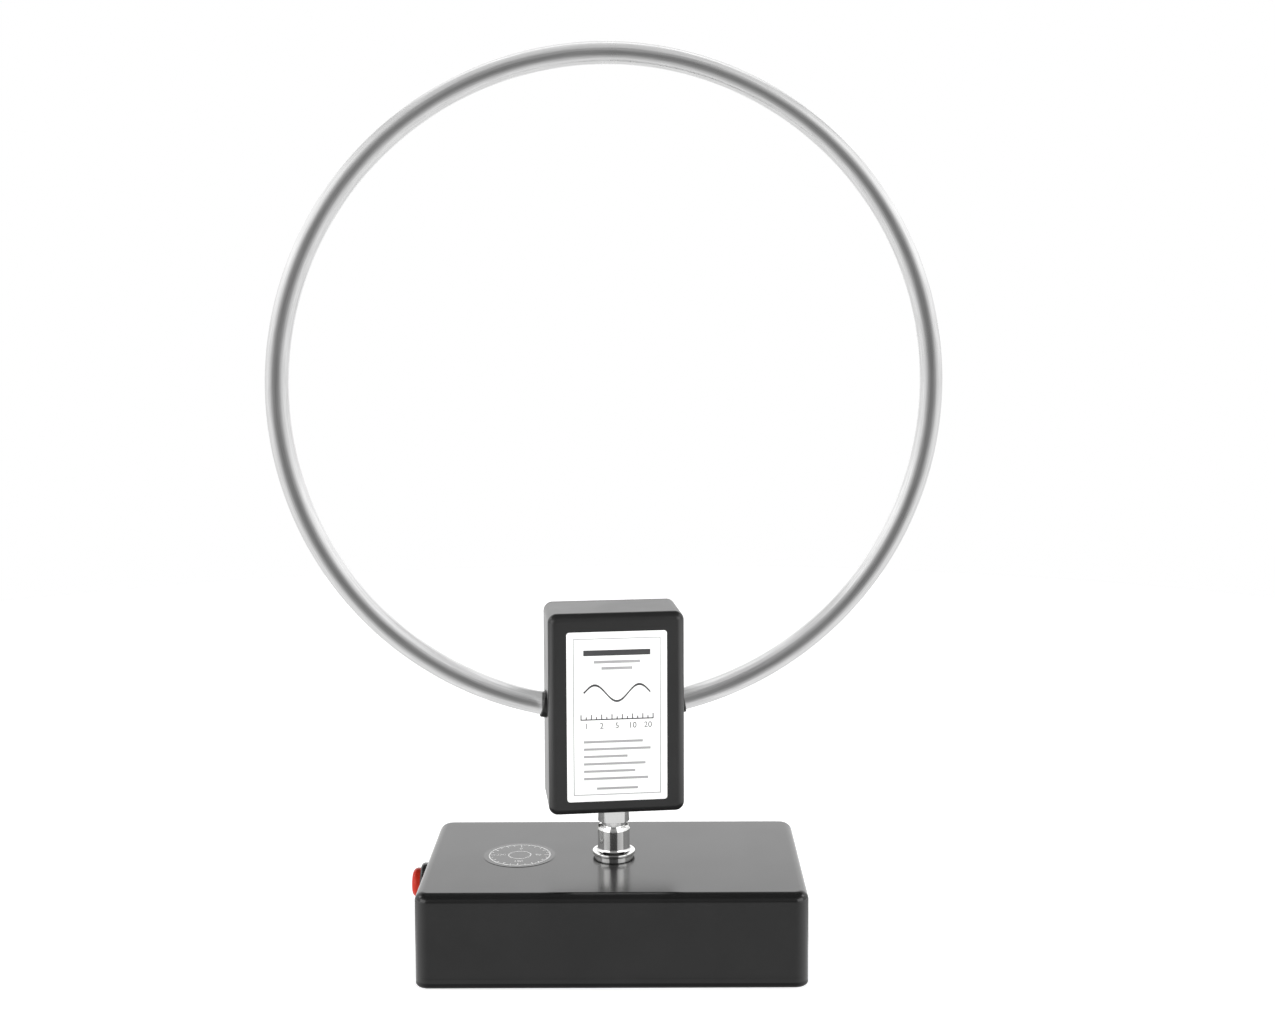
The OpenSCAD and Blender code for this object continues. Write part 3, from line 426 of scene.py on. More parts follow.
def filmFinish():
    # clear glossy film over the black box
    material, tree, shader = newFinish("clearFilm", IOR=1.5)
    skin = useGroup(tree, "grain", {"Grain Scale": 900.0, "Mottle Scale": 120.0})
    colourFrom(tree, shader, skin.outputs["Mottle"], grey(0.02), grey(0.03))
    wearOn(tree, shader, gloss=(0.08, 0.13), patches=70.0)
    bumpFrom(tree, shader, skin.outputs["Mottle"], depth=0.01, strength=0.4)
    return material


nickel = ((0.68, 0.67, 0.66), (0.86, 0.86, 0.85), (0.05, 0.11))
# each finish has a darker and a lighter colour, then its least and greatest roughness; some add a grain
finishes = {
    "baseBlack": mouldedFinish("baseBlack", grey(0.0063), grey(0.0081), (0.18, 0.21), depth=0.002, ior=1.44),
    "headBlack": mouldedFinish("headBlack", grey(0.0135), grey(0.0165), (0.28, 0.32), depth=0.002, ior=1.42),
    "tube": tubeFinish(),
    "chrome": metalFinish("brightNickel", *nickel),
    "chromeAcross": metalFinish("brightNickelAcross", *nickel, axis=(0, 1, 0)),
    "steel": metalFinish("screwSteel", (0.3, 0.3, 0.31), (0.5, 0.5, 0.51), (0.25, 0.4)),
    "tinned": metalFinish("tinnedMetal", (0.5, 0.49, 0.46), (0.68, 0.67, 0.63), (0.25, 0.4)),
    "gold": metalFinish("goldPlate", (0.75, 0.5, 0.16), (0.9, 0.66, 0.26), (0.15, 0.25)),
    "copper": metalFinish("lacqueredCopper", (0.4, 0.13, 0.05), (0.62, 0.24, 0.1), (0.25, 0.4),
                          lines=1500.0),
    "rubber": mouldedFinish("blackRubber", grey(0.008), grey(0.014), (0.36, 0.5), 3200.0, 0.008),
    "gasket": mouldedFinish("redRubber", (0.3, 0.05, 0.02), (0.38, 0.07, 0.03), (0.5, 0.65), 3200.0, 0.01),
    "switchBlack": mouldedFinish("switchBlack", grey(0.008), grey(0.012), (0.2, 0.3), 5200.0, 0.003),
    "buttonRed": mouldedFinish("buttonRed", (0.44, 0.018, 0.005), (0.51, 0.024, 0.008), (0.24, 0.34),
                               5200.0, 0.003, ior=1.3),
    "label": mouldedFinish("labelSheet", (0.87, 0.87, 0.865), (0.92, 0.92, 0.915), (0.34, 0.46),
                           2400.0, 0.003),
    "ink": mouldedFinish("labelInk", (0.03, 0.03, 0.032), (0.045, 0.045, 0.047), (0.4, 0.5), 3000.0, 0.002),
    "paleInk": mouldedFinish("paleInk", grey(0.3), grey(0.36), (0.4, 0.5), 3000.0, 0.002),
    "filmInk": mouldedFinish("filmInk", grey(0.78), grey(0.85), (0.2, 0.3), 3000.0, 0.002),
    "film": filmFinish(),
    "board": boardFinish(),
    "parts": mouldedFinish("componentBlack", (0.012, 0.012, 0.013), (0.022, 0.022, 0.024), (0.4, 0.55),
                           2500.0, 0.008),
    "wrap": mouldedFinish("cellWrap", (0.03, 0.14, 0.32), (0.04, 0.17, 0.38), (0.2, 0.3), 1500.0, 0.004),
    "insulator": mouldedFinish("whiteInsulator", (0.78, 0.77, 0.73), (0.85, 0.84, 0.8), (0.35, 0.5),
                               2600.0, 0.005),
    "wireWhite": mouldedFinish("wireWhite", (0.66, 0.66, 0.64), (0.74, 0.74, 0.72), (0.35, 0.5),
                               2600.0, 0.004),
    "wireRed": mouldedFinish("wireRed", (0.4, 0.025, 0.018), (0.48, 0.035, 0.024), (0.35, 0.5),
                             2600.0, 0.004),
    "ferrite": mouldedFinish("ferriteCore", (0.035, 0.034, 0.033), (0.06, 0.058, 0.055), (0.6, 0.75),
                             1800.0, 0.02),
}
print("finishes:", len(finishes))

slotFinishes = {
    "case_black": "baseBlack", "steel": "steel", "board_green": "board", "parts_black": "parts",
    "battery_wrap": "wrap", "tinned_metal": "tinned", "nickel": "chrome", "insulator_white": "insulator",
    "gold": "gold", "wire_white": "wireWhite", "wire_red": "wireRed", "switch_black": "switchBlack",
    "button_red": "buttonRed", "sticker_film": "film", "gasket_rubber": "gasket", "ferrite": "ferrite",
    "copper": "copper", "tube_aluminium": "tube", "grommet_rubber": "rubber", "label_white": "label",
}
for part in frame["record"]["subparts"]:
    mesh = nodes[part["node"]].data
    mesh.materials.clear()
    mesh.materials.append(finishes[slotFinishes[part["material_slot"]]])
print("frame nodes finished")


# The base box and its cover

baseBox = {"corner": 5.5, "edge": 3.5, "footEdge": 1.2, "seam": 0.05, "wall": 2.2, "cornerSteps": 14,
           "edgeSteps": 10, "stemHole": 4.85, "switchHole": 6.0, "switchPlace": (13.0, 20.5),
           "outputPlace": (38.0, 20.5), "slot": (9.54, 3.86), "slotX": -30.0, "slotZ": 12.23,
           "slotRound": 0.98, "slotSteps": 10}


def buildBaseShell():
    low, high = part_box("base_case")
    shell = roundedBox("base-shell", low, high, 2, baseBox, 1)
    hollowOut(shell, 2, low.z, baseBox["wall"])
    deep = 3 * baseBox["wall"]
    slotWide, slotHigh = baseBox["slot"]
    slotMiddle = Vector((baseBox["slotX"] * mm, high.y, baseBox["slotZ"] * mm))
    slotHalf = Vector((slotWide, deep, slotHigh)) * mm / 2
    slot = boxPiece("slot-cutter", slotMiddle - slotHalf, slotMiddle + slotHalf)
    enterEdit(slot)
    pick(slot, "EDGE", lambda edge: runsAlong(edge, 1))
    bpy.ops.mesh.bevel(offset=baseBox["slotRound"] * slotHigh / 2 * mm, segments=baseBox["slotSteps"],
                       affect="EDGES")
    leaveEdit()
    switchY, switchZ = baseBox["switchPlace"]
    outputX, outputZ = baseBox["outputPlace"]
    reach = deep * mm / 2
    sidePlace = (low.x - reach, switchY * mm, switchZ * mm)
    backPlace = (outputX * mm, high.y - reach, outputZ * mm)
    cutAway(shell, slot, rod("top-cutter", baseBox["stemHole"], (0, 0, 1), (0, 0, high.z - reach), deep),
            rod("side-cutter", baseBox["switchHole"], (1, 0, 0), sidePlace, deep),
            rod("back-cutter", baseBox["stemHole"], (0, 1, 0), backPlace, deep))
    finishPiece(shell, "base", finishes["baseBlack"], "case_black", "base_case")


screw = {"radius": 1.5, "headRadius": 2.8, "headHeight": 1.6, "headRound": 0.9, "crown": 0.3, "length": 12.0,
         "pointLong": 0.6, "pointRadius": 0.9, "sink": 0.5, "bore": 2.9, "cross": (3.4, 0.8, 0.9),
         "inset": 7.2}


def screwPlaces(wide, tall):
    x, y = wide / 2 - screw["inset"], tall / 2 - screw["inset"]
    return [(-x, -y), (-x, y), (x, -y), (x, y)]


def buildScrew(name):
    # pan head at zero with a cross recess, its shank along +Z
    head, soft, shank = screw["headRadius"], screw["headRound"], screw["radius"]
    under = screw["headHeight"]
    tip = under + screw["length"]
    rings = [(screw["crown"], 0), *arc(head - soft, soft, soft, 270, 360), (head, under), (shank, under),
             (shank, tip - screw["pointLong"]), (screw["pointRadius"], tip)]
    piece = turned(name, rings, sides=48)
    length, width, depth = screw["cross"]
    for x, y in ((length / 2, width / 2), (width / 2, length / 2)):
        half = Vector((x, y, depth)) * mm
        cutAway(piece, boxPiece("cross-cutter", -half, half))
    return piece


def placeScrews(name, direction, places):
    screws = []
    model = buildScrew("screw-model")
    for i, place in enumerate(places):
        screws.append(stand(copyOf(model, f"{name}-{i}"), direction, place))
    bpy.data.objects.remove(model)
    joined = joinAll(*screws)
    joined.name = joined.data.name = name
    return joined


def buildBaseCover():
    low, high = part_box("base_bottom_cover")
    high = Vector((high.x, high.y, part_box("base_case")[0].z))
    cover = roundedBox("base-cover", low, high, 2, {**baseBox, "edge": baseBox["footEdge"]}, -1)
    places = [(x * mm, y * mm) for x, y in screwPlaces((high.x - low.x) / mm, (high.y - low.y) / mm)]
    depth = screw["sink"] + screw["headHeight"]
    cutAway(cover, *[rod("bore-cutter", screw["bore"], (0, 0, 1), (x, y, low.z - depth * mm), 2 * depth)
                     for x, y in places])
    finishPiece(cover, "base", finishes["baseBlack"], "case_black", "base_bottom_cover")
    screws = placeScrews("base-screws", (0, 0, 1), [(x, y, low.z + screw["sink"] * mm) for x, y in places])
    finishPiece(screws, "base", finishes["steel"], "steel", "base_cover_screws")


buildBaseShell()
buildBaseCover()
print("base box built")


# The head box, made straight and then turned to its heading

headBox = {"wide": 53.0, "deep": 31.0, "cover": 4.0, "corner": 3.6, "edge": 3.0, "seam": 0.12, "wall": 2.2,
           "cornerSteps": 12, "edgeSteps": 10, "entry": 40.8, "stemHole": 4.85, "tubeHole": 5.4}
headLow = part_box("head_case")[0].z
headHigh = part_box("head_case")[1].z
headHalf = headBox["wide"] / 2 * mm
headBack = headBox["deep"] / 2 * mm
headSeam = (headBox["deep"] / 2 - headBox["cover"]) * mm
entryTilt = math.asin(headBox["wide"] / 2 / ring["radius"])


def entryFrame(side):
    # where the tube leaves the box, and the way it goes there
    place = Vector((side * headHalf, 0, headLow + headBox["entry"] * mm))
    return place, Vector((side * math.cos(entryTilt), 0, math.sin(entryTilt)))


def buildHeadShell():
    low, high = Vector((-headHalf, -headBack, headLow)), Vector((headHalf, headSeam, headHigh))
    shell = roundedBox("head-shell", low, high, 1, headBox, -1)
    hollowOut(shell, 1, headSeam, headBox["wall"])
    deep = 4 * headBox["wall"]
    cutters = [rod("foot-cutter", headBox["stemHole"], (0, 0, 1), (0, 0, headLow - deep * mm / 2), deep)]
    for side in (-1, 1):
        place, way = entryFrame(side)
        cutters.append(rod("tube-cutter", headBox["tubeHole"], way, place - way * deep * mm / 2, deep))
    cutAway(shell, *cutters)
    finishPiece(swing(shell), "head", finishes["headBlack"], "case_black", "head_case")


def buildHeadCover():
    low, high = Vector((-headHalf, headSeam, headLow)), Vector((headHalf, headBack, headHigh))
    cover = roundedBox("head-cover", low, high, 1, headBox, 1)
    middle = (headLow + headHigh) / 2
    depth = screw["sink"] + screw["headHeight"]
    places = [(x * mm, middle + z * mm) for x, z in screwPlaces(headBox["wide"], (headHigh - headLow) / mm)]
    cutAway(cover, *[rod("bore-cutter", screw["bore"], (0, 1, 0), (x, headBack - depth * mm, z), 2 * depth)
                     for x, z in places])
    finishPiece(swing(cover), "head", finishes["headBlack"], "case_black", "head_rear_cover")
    heads = [(x, headBack - screw["sink"] * mm, z) for x, z in places]
    screws = placeScrews("head-screws", (0, -1, 0), heads)
    finishPiece(swing(screws), "head", finishes["steel"], "steel", "head_cover_screws")


buildHeadShell()
buildHeadCover()
print("head box built")


# The ring and the grommets that hold it


def buildTube():
    start = math.asin(ring["gap"] / 2 / ring["radius"]) - math.pi / 2
    middle = Vector((0, 0, ring["middle"] * mm))
    clearSelection()
    bpy.ops.mesh.primitive_circle_add(
        vertices=ring["sides"], radius=ring["tube"] * mm, rotation=(0, -start, 0),
        location=middle + ring["radius"] * mm * Vector((math.cos(start), 0, math.sin(start))))
    tube = takeNew("loop-tube")
    enterEdit(tube)
    bpy.ops.mesh.spin(steps=ring["steps"], angle=math.pi - 2 * start, center=middle, axis=(0, -1, 0))
    bpy.ops.mesh.select_all(action="SELECT")
    bpy.ops.mesh.normals_make_consistent(inside=False)
    leaveEdit()
    applyModifier(tube, "SOLIDIFY", thickness=ring["wall"] * mm, offset=-1)
    finishPiece(swing(tube), "head", finishes["tube"], "tube_aluminium", "loop_tube", angle=60)


grommet = {"outer": 5.35, "inner": 4.6, "inside": 3.5, "proud": 1.5, "round": 0.45, "mouthRound": 0.25,
           "band": 0.6, "flange": 6.75, "flangeThick": 1.3}


def buildGrommet(side, name, node):
    top, low = grommet["proud"], -grommet["inside"]
    outer, inner, soft = grommet["outer"], grommet["inner"], grommet["round"]
    flange, flangeTop, mouth = grommet["flange"], low + grommet["flangeThick"], grommet["mouthRound"]
    rings = [(inner, low), (flange, low), (flange, flangeTop), (outer, flangeTop), (outer, grommet["band"]),
             (outer, top - soft), *arc(outer - soft, top - soft, soft, 15, 90, 5),
             *arc(inner + mouth, top - mouth, mouth, 90, 180, 3), (inner, low)]
    piece = turned(name, rings, sides=64)
    place, way = entryFrame(side)
    finishPiece(swing(stand(piece, way, place)), "head", finishes["rubber"], "grommet_rubber", node)


buildTube()
buildGrommet(-1, "grommet-left", "loop_grommet_left")
buildGrommet(1, "grommet-right", "loop_grommet_right")
print("ring built")


# The bayonet connector

coupling = {"grip": 8.4, "gripTop": 1.15, "gripRound": 0.25, "footEdge": 0.3, "flare": 1.5, "body": 6.4,
            "rimSlope": 1.2, "rimIn": 0.35, "bore": 4.91, "seat": 5.93, "seatTop": 2.6, "groove": 5.75,
            "grooveWide": 2.5, "grooveLong": 3.4, "mouthDeep": 2.0, "edge": 0.18, "edgeAngle": 10,
            "past": 1.0}


def buildCoupling():
    low, high = (corner.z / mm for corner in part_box("coupling_sleeve"))
    size = coupling
    grip, body, bore, seat = size["grip"], size["body"], size["bore"], size["seat"]
    gripTop, seatTop = low + size["gripTop"], low + size["seatTop"]
    shoulder = gripTop + size["gripRound"]
    # the flange's round shoulder runs into a hollow flare up to the sleeve
    rings = [(seat, low), (grip - size["footEdge"], low), (grip, low + size["footEdge"]),
             *arc(grip - size["gripRound"], gripTop, size["gripRound"], 0, 75, 8),
             *arc(body + size["flare"], shoulder + size["flare"], size["flare"], 265, 180, 10),
             (body, high - size["rimSlope"]), (body - size["rimIn"], high), (bore, high), (bore, seatTop),
             (seat, seatTop), (seat, low)]
    sleeve = turned("coupling-sleeve", rings, sides=128)
    softenEdges(sleeve, size["edge"], steps=3, angle=size["edgeAngle"])
    cutters = []
    for side in (-1, 1):
        half, reach = size["grooveWide"] / 2 * mm, side * size["groove"] * mm
        cutters.append(boxPiece("groove-cutter", (min(0, reach), -half, (high - size["grooveLong"]) * mm),
                                (max(0, reach), half, (high + size["past"]) * mm)))
        cutters.append(rod("mouth-cutter", size["mouthDeep"], (side, 0, 0), (0, 0, high * mm),
                           body + size["past"], sides=4))
    cutAway(sleeve, *cutters)
    finishPiece(swing(sleeve), "coupling", finishes["chrome"], "nickel", "coupling_sleeve", angle=24)


jack = {"collar": 6.35, "flats": 9.9, "barrel": 4.83, "nose": 4.65, "noseLong": 4.0, "bore": 4.06,
        "boreDeep": 6.2, "barrelLong": 9.9, "headCollar": 7.0, "outputCollar": 2.5, "stem": 4.75,
        "stemLong": 6.8, "lug": 1.0, "lugTip": 5.5, "lugFromMouth": 5.1, "insulator": 2.4, "insulatorIn": 0.6,
        "contact": 1.1, "contactIn": 0.9, "contactBore": 0.72, "lugTurn": 80.0, "relief": 0.25,
        "reliefLong": 0.2, "noseStep": 0.18, "noseEdge": 0.2, "noseEdgeLong": 0.25, "boreEdge": 0.15,
        "boreEdgeLong": 0.2, "fit": 0.05, "collarTop": 0.25, "collarFoot": 0.3, "flatEdge": 0.12,
        "flatAngle": 30, "lugEdge": 0.15, "lugAngle": 40, "lugRoot": 0.2, "insulatorEdge": 0.2,
        "contactTail": 3.0, "contactEdge": 0.15, "contactMouth": 0.1}


def buildJack(name, collarLong, lugTurn):
    # panel face at zero and outward along +Z
    size = jack
    mouth, foot = collarLong + size["barrelLong"], -size["stemLong"]
    noseLow, boreLow = mouth - size["noseLong"], mouth - size["boreDeep"]
    stem, nose, bore, outside = size["stem"], size["nose"], size["bore"], size["barrel"]
    neck, inside = outside - size["relief"], size["insulator"] + size["fit"]
    barrel = turned(name, [
        (stem, foot), (stem, 0), (neck, 0), (neck, size["reliefLong"]), (outside, size["reliefLong"]),
        (outside, noseLow - size["noseStep"]), (nose, noseLow), (nose, mouth - size["noseEdgeLong"]),
        (nose - size["noseEdge"], mouth), (bore + size["boreEdge"], mouth),
        (bore, mouth - size["boreEdgeLong"]), (bore, boreLow), (inside, boreLow), (inside, foot),
        (stem, foot)])
    wide, top, edge = size["collar"], size["collarTop"], size["collarFoot"]
    collar = turned(name + "-collar", [
        (outside, 0), (wide - top, 0), (wide, top), (wide, collarLong - edge), (wide - edge, collarLong),
        (outside, collarLong), (outside, 0)])
    enterEdit(collar)
    for side in (-1, 1):
        bpy.ops.mesh.select_all(action="SELECT")
        bpy.ops.mesh.bisect(plane_co=(0, side * size["flats"] / 2 * mm, 0), plane_no=(0, side, 0),
                            use_fill=True, clear_outer=True)
    leaveEdit()
    softenEdges(collar, size["flatEdge"], steps=2, angle=size["flatAngle"])
    lugs = []
    way = Vector((math.cos(math.radians(lugTurn)), math.sin(math.radians(lugTurn)), 0))
    for side in (-1, 1):
        root = bore + size["lugRoot"]
        start = way * side * root * mm + Vector((0, 0, (mouth - size["lugFromMouth"]) * mm))
        lug = rod(f"{name}-lug", size["lug"], way * side, start, size["lugTip"] - root, sides=32)
        softenEdges(lug, size["lugEdge"], steps=2, angle=size["lugAngle"])
        lugs.append(lug)
    return joinAll(barrel, collar, *lugs)


def buildHeadJack():
    piece = buildJack("head-jack", jack["headCollar"], -jack["lugTurn"])
    swing(lay(piece, (math.pi, 0, 0), (0, 0, headLow)))
    finishPiece(piece, "head", finishes["chrome"], "nickel", "head_jack_body", angle=28)


def buildOutputJack():
    outputX, outputZ = baseBox["outputPlace"]
    place = (outputX * mm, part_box("base_case")[1].y, outputZ * mm)
    mouth = jack["outputCollar"] + jack["barrelLong"]
    body = buildJack("output-jack", jack["outputCollar"], 0)
    foot, top, edge = -jack["stemLong"], mouth - jack["insulatorIn"], jack["insulatorEdge"]
    outside, inside = jack["insulator"], jack["contact"] + jack["fit"]
    inner = turned("output-insulator", [
        (inside, foot), (outside, foot), (outside, top - edge), (outside - edge, top), (inside, top),
        (inside, foot)], sides=48)
    top, edge = mouth - jack["contactIn"], jack["contactEdge"]
    outside, inside = jack["contact"], jack["contactBore"]
    contact = turned("output-contact", [
        (outside, foot - jack["contactTail"]), (outside, top - edge), (outside - edge, top),
        (inside + jack["contactMouth"], top), (inside, top - edge), (inside, top - jack["boreDeep"])],
        sides=32)
    rows = ((body, "chromeAcross", "nickel", "output_jack_body"),
            (inner, "insulator", "insulator_white", "output_jack_insulator"),
            (contact, "gold", "gold", "output_jack_contact"))
    for piece, finish, slot, node in rows:
        lay(piece, (-math.pi / 2, 0, 0), place)
        finishPiece(piece, "base", finishes[finish], slot, node, angle=28)


buildCoupling()
buildHeadJack()
buildOutputJack()
print("connectors built")


# The push switch on the left side

switch = {"bezel": 7.8, "bezelHigh": 4.5, "bezelRound": 1.4, "recess": 5.9, "floor": 0.8, "bushing": 5.9,
          "bushingLong": 10.0, "block": 4.1, "blockLong": 20.0, "cap": 5.8, "capLow": 3.7, "capTop": 8.3,
          "capRound": 2.2, "capEdge": 0.2, "crown": 0.35, "stem": 3.4, "stemEnd": -4.5, "fit": 0.1,
          "footEdge": 0.15, "recessEdge": 0.2, "wellFloor": -8.0}


def buildSwitch():
    switchY, switchZ = baseBox["switchPlace"]
    place = (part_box("base_case")[0].x, switchY * mm, switchZ * mm)
    high, soft, bezel = switch["bezelHigh"], switch["bezelRound"], switch["bezel"]
    bushing, bushingEnd, well = switch["bushing"], -switch["bushingLong"], switch["stem"] + switch["fit"]
    recess, edge = switch["recess"], switch["recessEdge"]
    body = turned("switch-body", [
        (switch["block"], -switch["blockLong"]), (switch["block"], bushingEnd), (bushing, bushingEnd),
        (bushing, 0), (bezel - switch["footEdge"], 0), (bezel, switch["footEdge"]),
        *arc(bezel - soft, high - soft, soft, 0, 90, 8), (recess + edge, high), (recess, high - edge),
        (recess, switch["floor"]), (well, switch["floor"]), (well, switch["wellFloor"])])
    stand(body, (-1, 0, 0), place)
    finishPiece(body, "base", finishes["switchBlack"], "switch_black", "power_switch_body")
    cap, soft, top = switch["cap"], switch["capRound"], switch["capTop"] - switch["crown"]
    capLow, edge = switch["capLow"], switch["capEdge"]
    crown = [(r * (cap - soft), switch["capTop"] - switch["crown"] * r * r) for r in (0.75, 0.5, 0.25)]
    button = turned("power-button", [
        (switch["stem"], switch["stemEnd"]), (switch["stem"], capLow), (cap - edge, capLow),
        (cap, capLow + edge), *arc(cap - soft, top - soft, soft, 0, 90, 10), *crown,
        (0, switch["capTop"])])
    stand(button, (-1, 0, 0), place)
    finishPiece(button, "power_button", finishes["buttonRed"], "button_red", "power_switch_cap", angle=40)


buildSwitch()
print("switch built")


# Label and sticker: printed marks stand a little proud of what carries them

inkThick = 0.02


def keepRim(piece, width):
    # leaves a line of that width along the outline
    enterEdit(piece)
    bpy.ops.mesh.inset(thickness=width * mm)
    bpy.ops.mesh.delete(type="FACE")
    leaveEdit()
    return piece


def inkRing(radius, width):
    clearSelection()
    bpy.ops.mesh.primitive_circle_add(vertices=96, radius=radius * mm, fill_type="NGON", location=(0, 0, 0))
    return keepRim(takeNew("ring"), width)


def inkStroke(points, width):
    # a ribbon drawn from point to point by pulling out its end edge
    clearSelection()
    x, y = points[0]
    nextX = points[1][0]
    bpy.ops.mesh.primitive_plane_add(size=1, location=((x + nextX) / 2 * mm, y * mm, 0))
    ribbon = bpy.context.active_object
    ribbon.scale = ((nextX - x) * mm, width * mm, 1)
    settle(ribbon)
    enterEdit(ribbon)
    pick(ribbon, "EDGE", lambda edge: liesAt(edge, 0, nextX * mm))
    for (fromX, fromY), (toX, toY) in zip(points[1:], points[2:]):
        step = ((toX - fromX) * mm, (toY - fromY) * mm, 0)
        bpy.ops.mesh.extrude_edges_move(TRANSFORM_OT_translate={"value": step})
    leaveEdit()
    return ribbon


def inkNumber(text, x, y, size):
    clearSelection()
    bpy.ops.object.text_add(location=(0, 0, 0))
    word = bpy.context.active_object
    word.data.body = text
    word.data.size = size * mm
    word.data.resolution_u = 5
    word.data.align_x = "CENTER"
    word.data.align_y = "CENTER"
    bpy.ops.object.convert(target="MESH")
    word = bpy.context.active_object
    word.location = (x * mm, y * mm, 0)
    return settle(word)


def inkBox(left, low, wide, tall):
    clearSelection()
    bpy.ops.mesh.primitive_plane_add(size=1, location=((left + wide / 2) * mm, (low + tall / 2) * mm, 0))
    bar = bpy.context.active_object
    bar.scale = (wide * mm, tall * mm, 1)
    return settle(bar)


def inkBar(low, wide, tall):
    return inkBox(-wide / 2, low, wide, tall)


def printOn(name, marks):
    piece = joinAll(*marks)
    piece.name = piece.data.name = name
    enterEdit(piece)
    bpy.ops.mesh.remove_doubles(threshold=near)
    bpy.ops.mesh.normals_make_consistent(inside=False)
    leaveEdit()
    applyModifier(piece, "SOLIDIFY", thickness=inkThick * mm, offset=0)
    return piece


label = {
    "low": 5.5, "film": 0.15, "left": -13.0, "wide": 26.0, "titleLow": 57.2, "titleTall": 2.2,
    "waveMiddle": 43.0, "waveTall": 3.2, "waveSteps": 60, "stepsPerWave": 40, "waveLine": 0.85,
    "scaleLeft": -14.0, "scaleLow": 32.0, "scaleMarks": 15, "markStep": 2.0, "markWide": 0.4,
    "scaleLine": 0.45, "longMark": 2.2, "shortMark": 1.3, "numbers": ("1", "2", "5", "10", "20"),
    "numberLeft": -12.0, "numberStep": 6.0, "numberMiddle": 29.6, "numberSize": 3.2,
    # bars in the middle, and the frame, have a lower edge, a width and a height
    "bars": ((54.2, 18.0, 1.1), (51.7, 12.0, 1.1)), "footBar": (4.6, 16.0, 0.9),
    "lines": (23.0, 26.0, 17.0, 24.0, 20.0, 25.0), "topLine": 23.0, "lineStep": 2.9, "lineTall": 0.95,
    "frame": (2.5, 34.0, 61.5), "frameLine": 0.35,
}


def onLabel(piece):
    # label places count from the middle of its lower edge
    front = -headBox["deep"] / 2 - label["film"] - inkThick / 2
    place = (0, front * mm, headLow + label["low"] * mm)
    return swing(lay(piece, (math.pi / 2, 0, 0), place))


def buildLabelPrint():
    left, wide, scaleLow = label["left"], label["wide"], label["scaleLow"]
    steps = label["waveSteps"]
    wave = [(left + wide * i / steps,
             label["waveMiddle"] + label["waveTall"] * math.sin(2 * math.pi * i / label["stepsPerWave"]))
            for i in range(steps + 1)]
    scaleLong = label["markStep"] * (label["scaleMarks"] - 1)
    dark = [inkBox(left, label["titleLow"], wide, label["titleTall"]), inkStroke(wave, label["waveLine"]),
            inkBox(label["scaleLeft"], scaleLow, scaleLong, label["scaleLine"])]
    for i in range(label["scaleMarks"]):
        markLeft = label["scaleLeft"] + label["markStep"] * i - label["markWide"] / 2
        markTall = label["shortMark" if i % 2 else "longMark"]
        dark.append(inkBox(markLeft, scaleLow, label["markWide"], markTall))
    for i, text in enumerate(label["numbers"]):
        x = label["numberLeft"] + label["numberStep"] * i
        dark.append(inkNumber(text, x, label["numberMiddle"], label["numberSize"]))
    finishPiece(onLabel(printOn("label-print", dark)), "head", finishes["ink"], "parts_black")
    pale = [inkBar(*bar) for bar in label["bars"]]
    for i, lineWide in enumerate(label["lines"]):
        pale.append(inkBox(left, label["topLine"] - label["lineStep"] * i, lineWide, label["lineTall"]))
    pale.append(keepRim(inkBar(*label["frame"]), label["frameLine"]))
    pale.append(inkBar(*label["footBar"]))
    finishPiece(onLabel(printOn("label-print-pale", pale)), "head", finishes["paleInk"], "parts_black")


sticker = {"radius": 14.25, "x": -37.5, "film": 0.15, "edgeLow": 0.08, "edgeIn": 0.12,
           "rings": ((12.3, 0.5), (4.6, 0.45)), "ticks": 24, "tickEnd": 11.6, "tickWide": 0.4,
           # every sixth tick is the longest, and of the others every second one is longer
           "tickLongs": (1.9, 1.3, 0.8), "numbers": ("0", "90", "180", "270"), "numberRadius": 7.4,
           "numberSize": 2.5}


def buildSticker():
    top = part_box("base_case")[1].z
    radius, film = sticker["radius"], sticker["film"]
    rings = [(radius, 0), (radius, sticker["edgeLow"]), (radius - sticker["edgeIn"], film)]
    disc = turned("round-sticker", rings, sides=128)
    disc.location = (sticker["x"] * mm, 0, top)
    finishPiece(disc, "base", finishes["film"], "sticker_film", "round_sticker")
    marks = [inkRing(*line) for line in sticker["rings"]]
    longest, longer, short = sticker["tickLongs"]
    for i in range(sticker["ticks"]):
        long = longest if i % 6 == 0 else (longer if i % 2 == 0 else short)
        tick = inkBar(sticker["tickEnd"] - long, sticker["tickWide"], long)
        tick.rotation_euler = (0, 0, 2 * math.pi * i / sticker["ticks"])
        marks.append(settle(tick))
    for i, text in enumerate(sticker["numbers"]):
        turn = math.radians(90 - 90 * i)
        away = sticker["numberRadius"]
        marks.append(inkNumber(text, away * math.cos(turn), away * math.sin(turn), sticker["numberSize"]))
    mark = printOn("sticker-print", marks)
    mark.location = (sticker["x"] * mm, 0, top + (film + inkThick / 2) * mm)
    finishPiece(mark, "base", finishes["filmInk"], "sticker_film")


buildLabelPrint()
buildSticker()
print("label and sticker built")


# Floor, light and camera

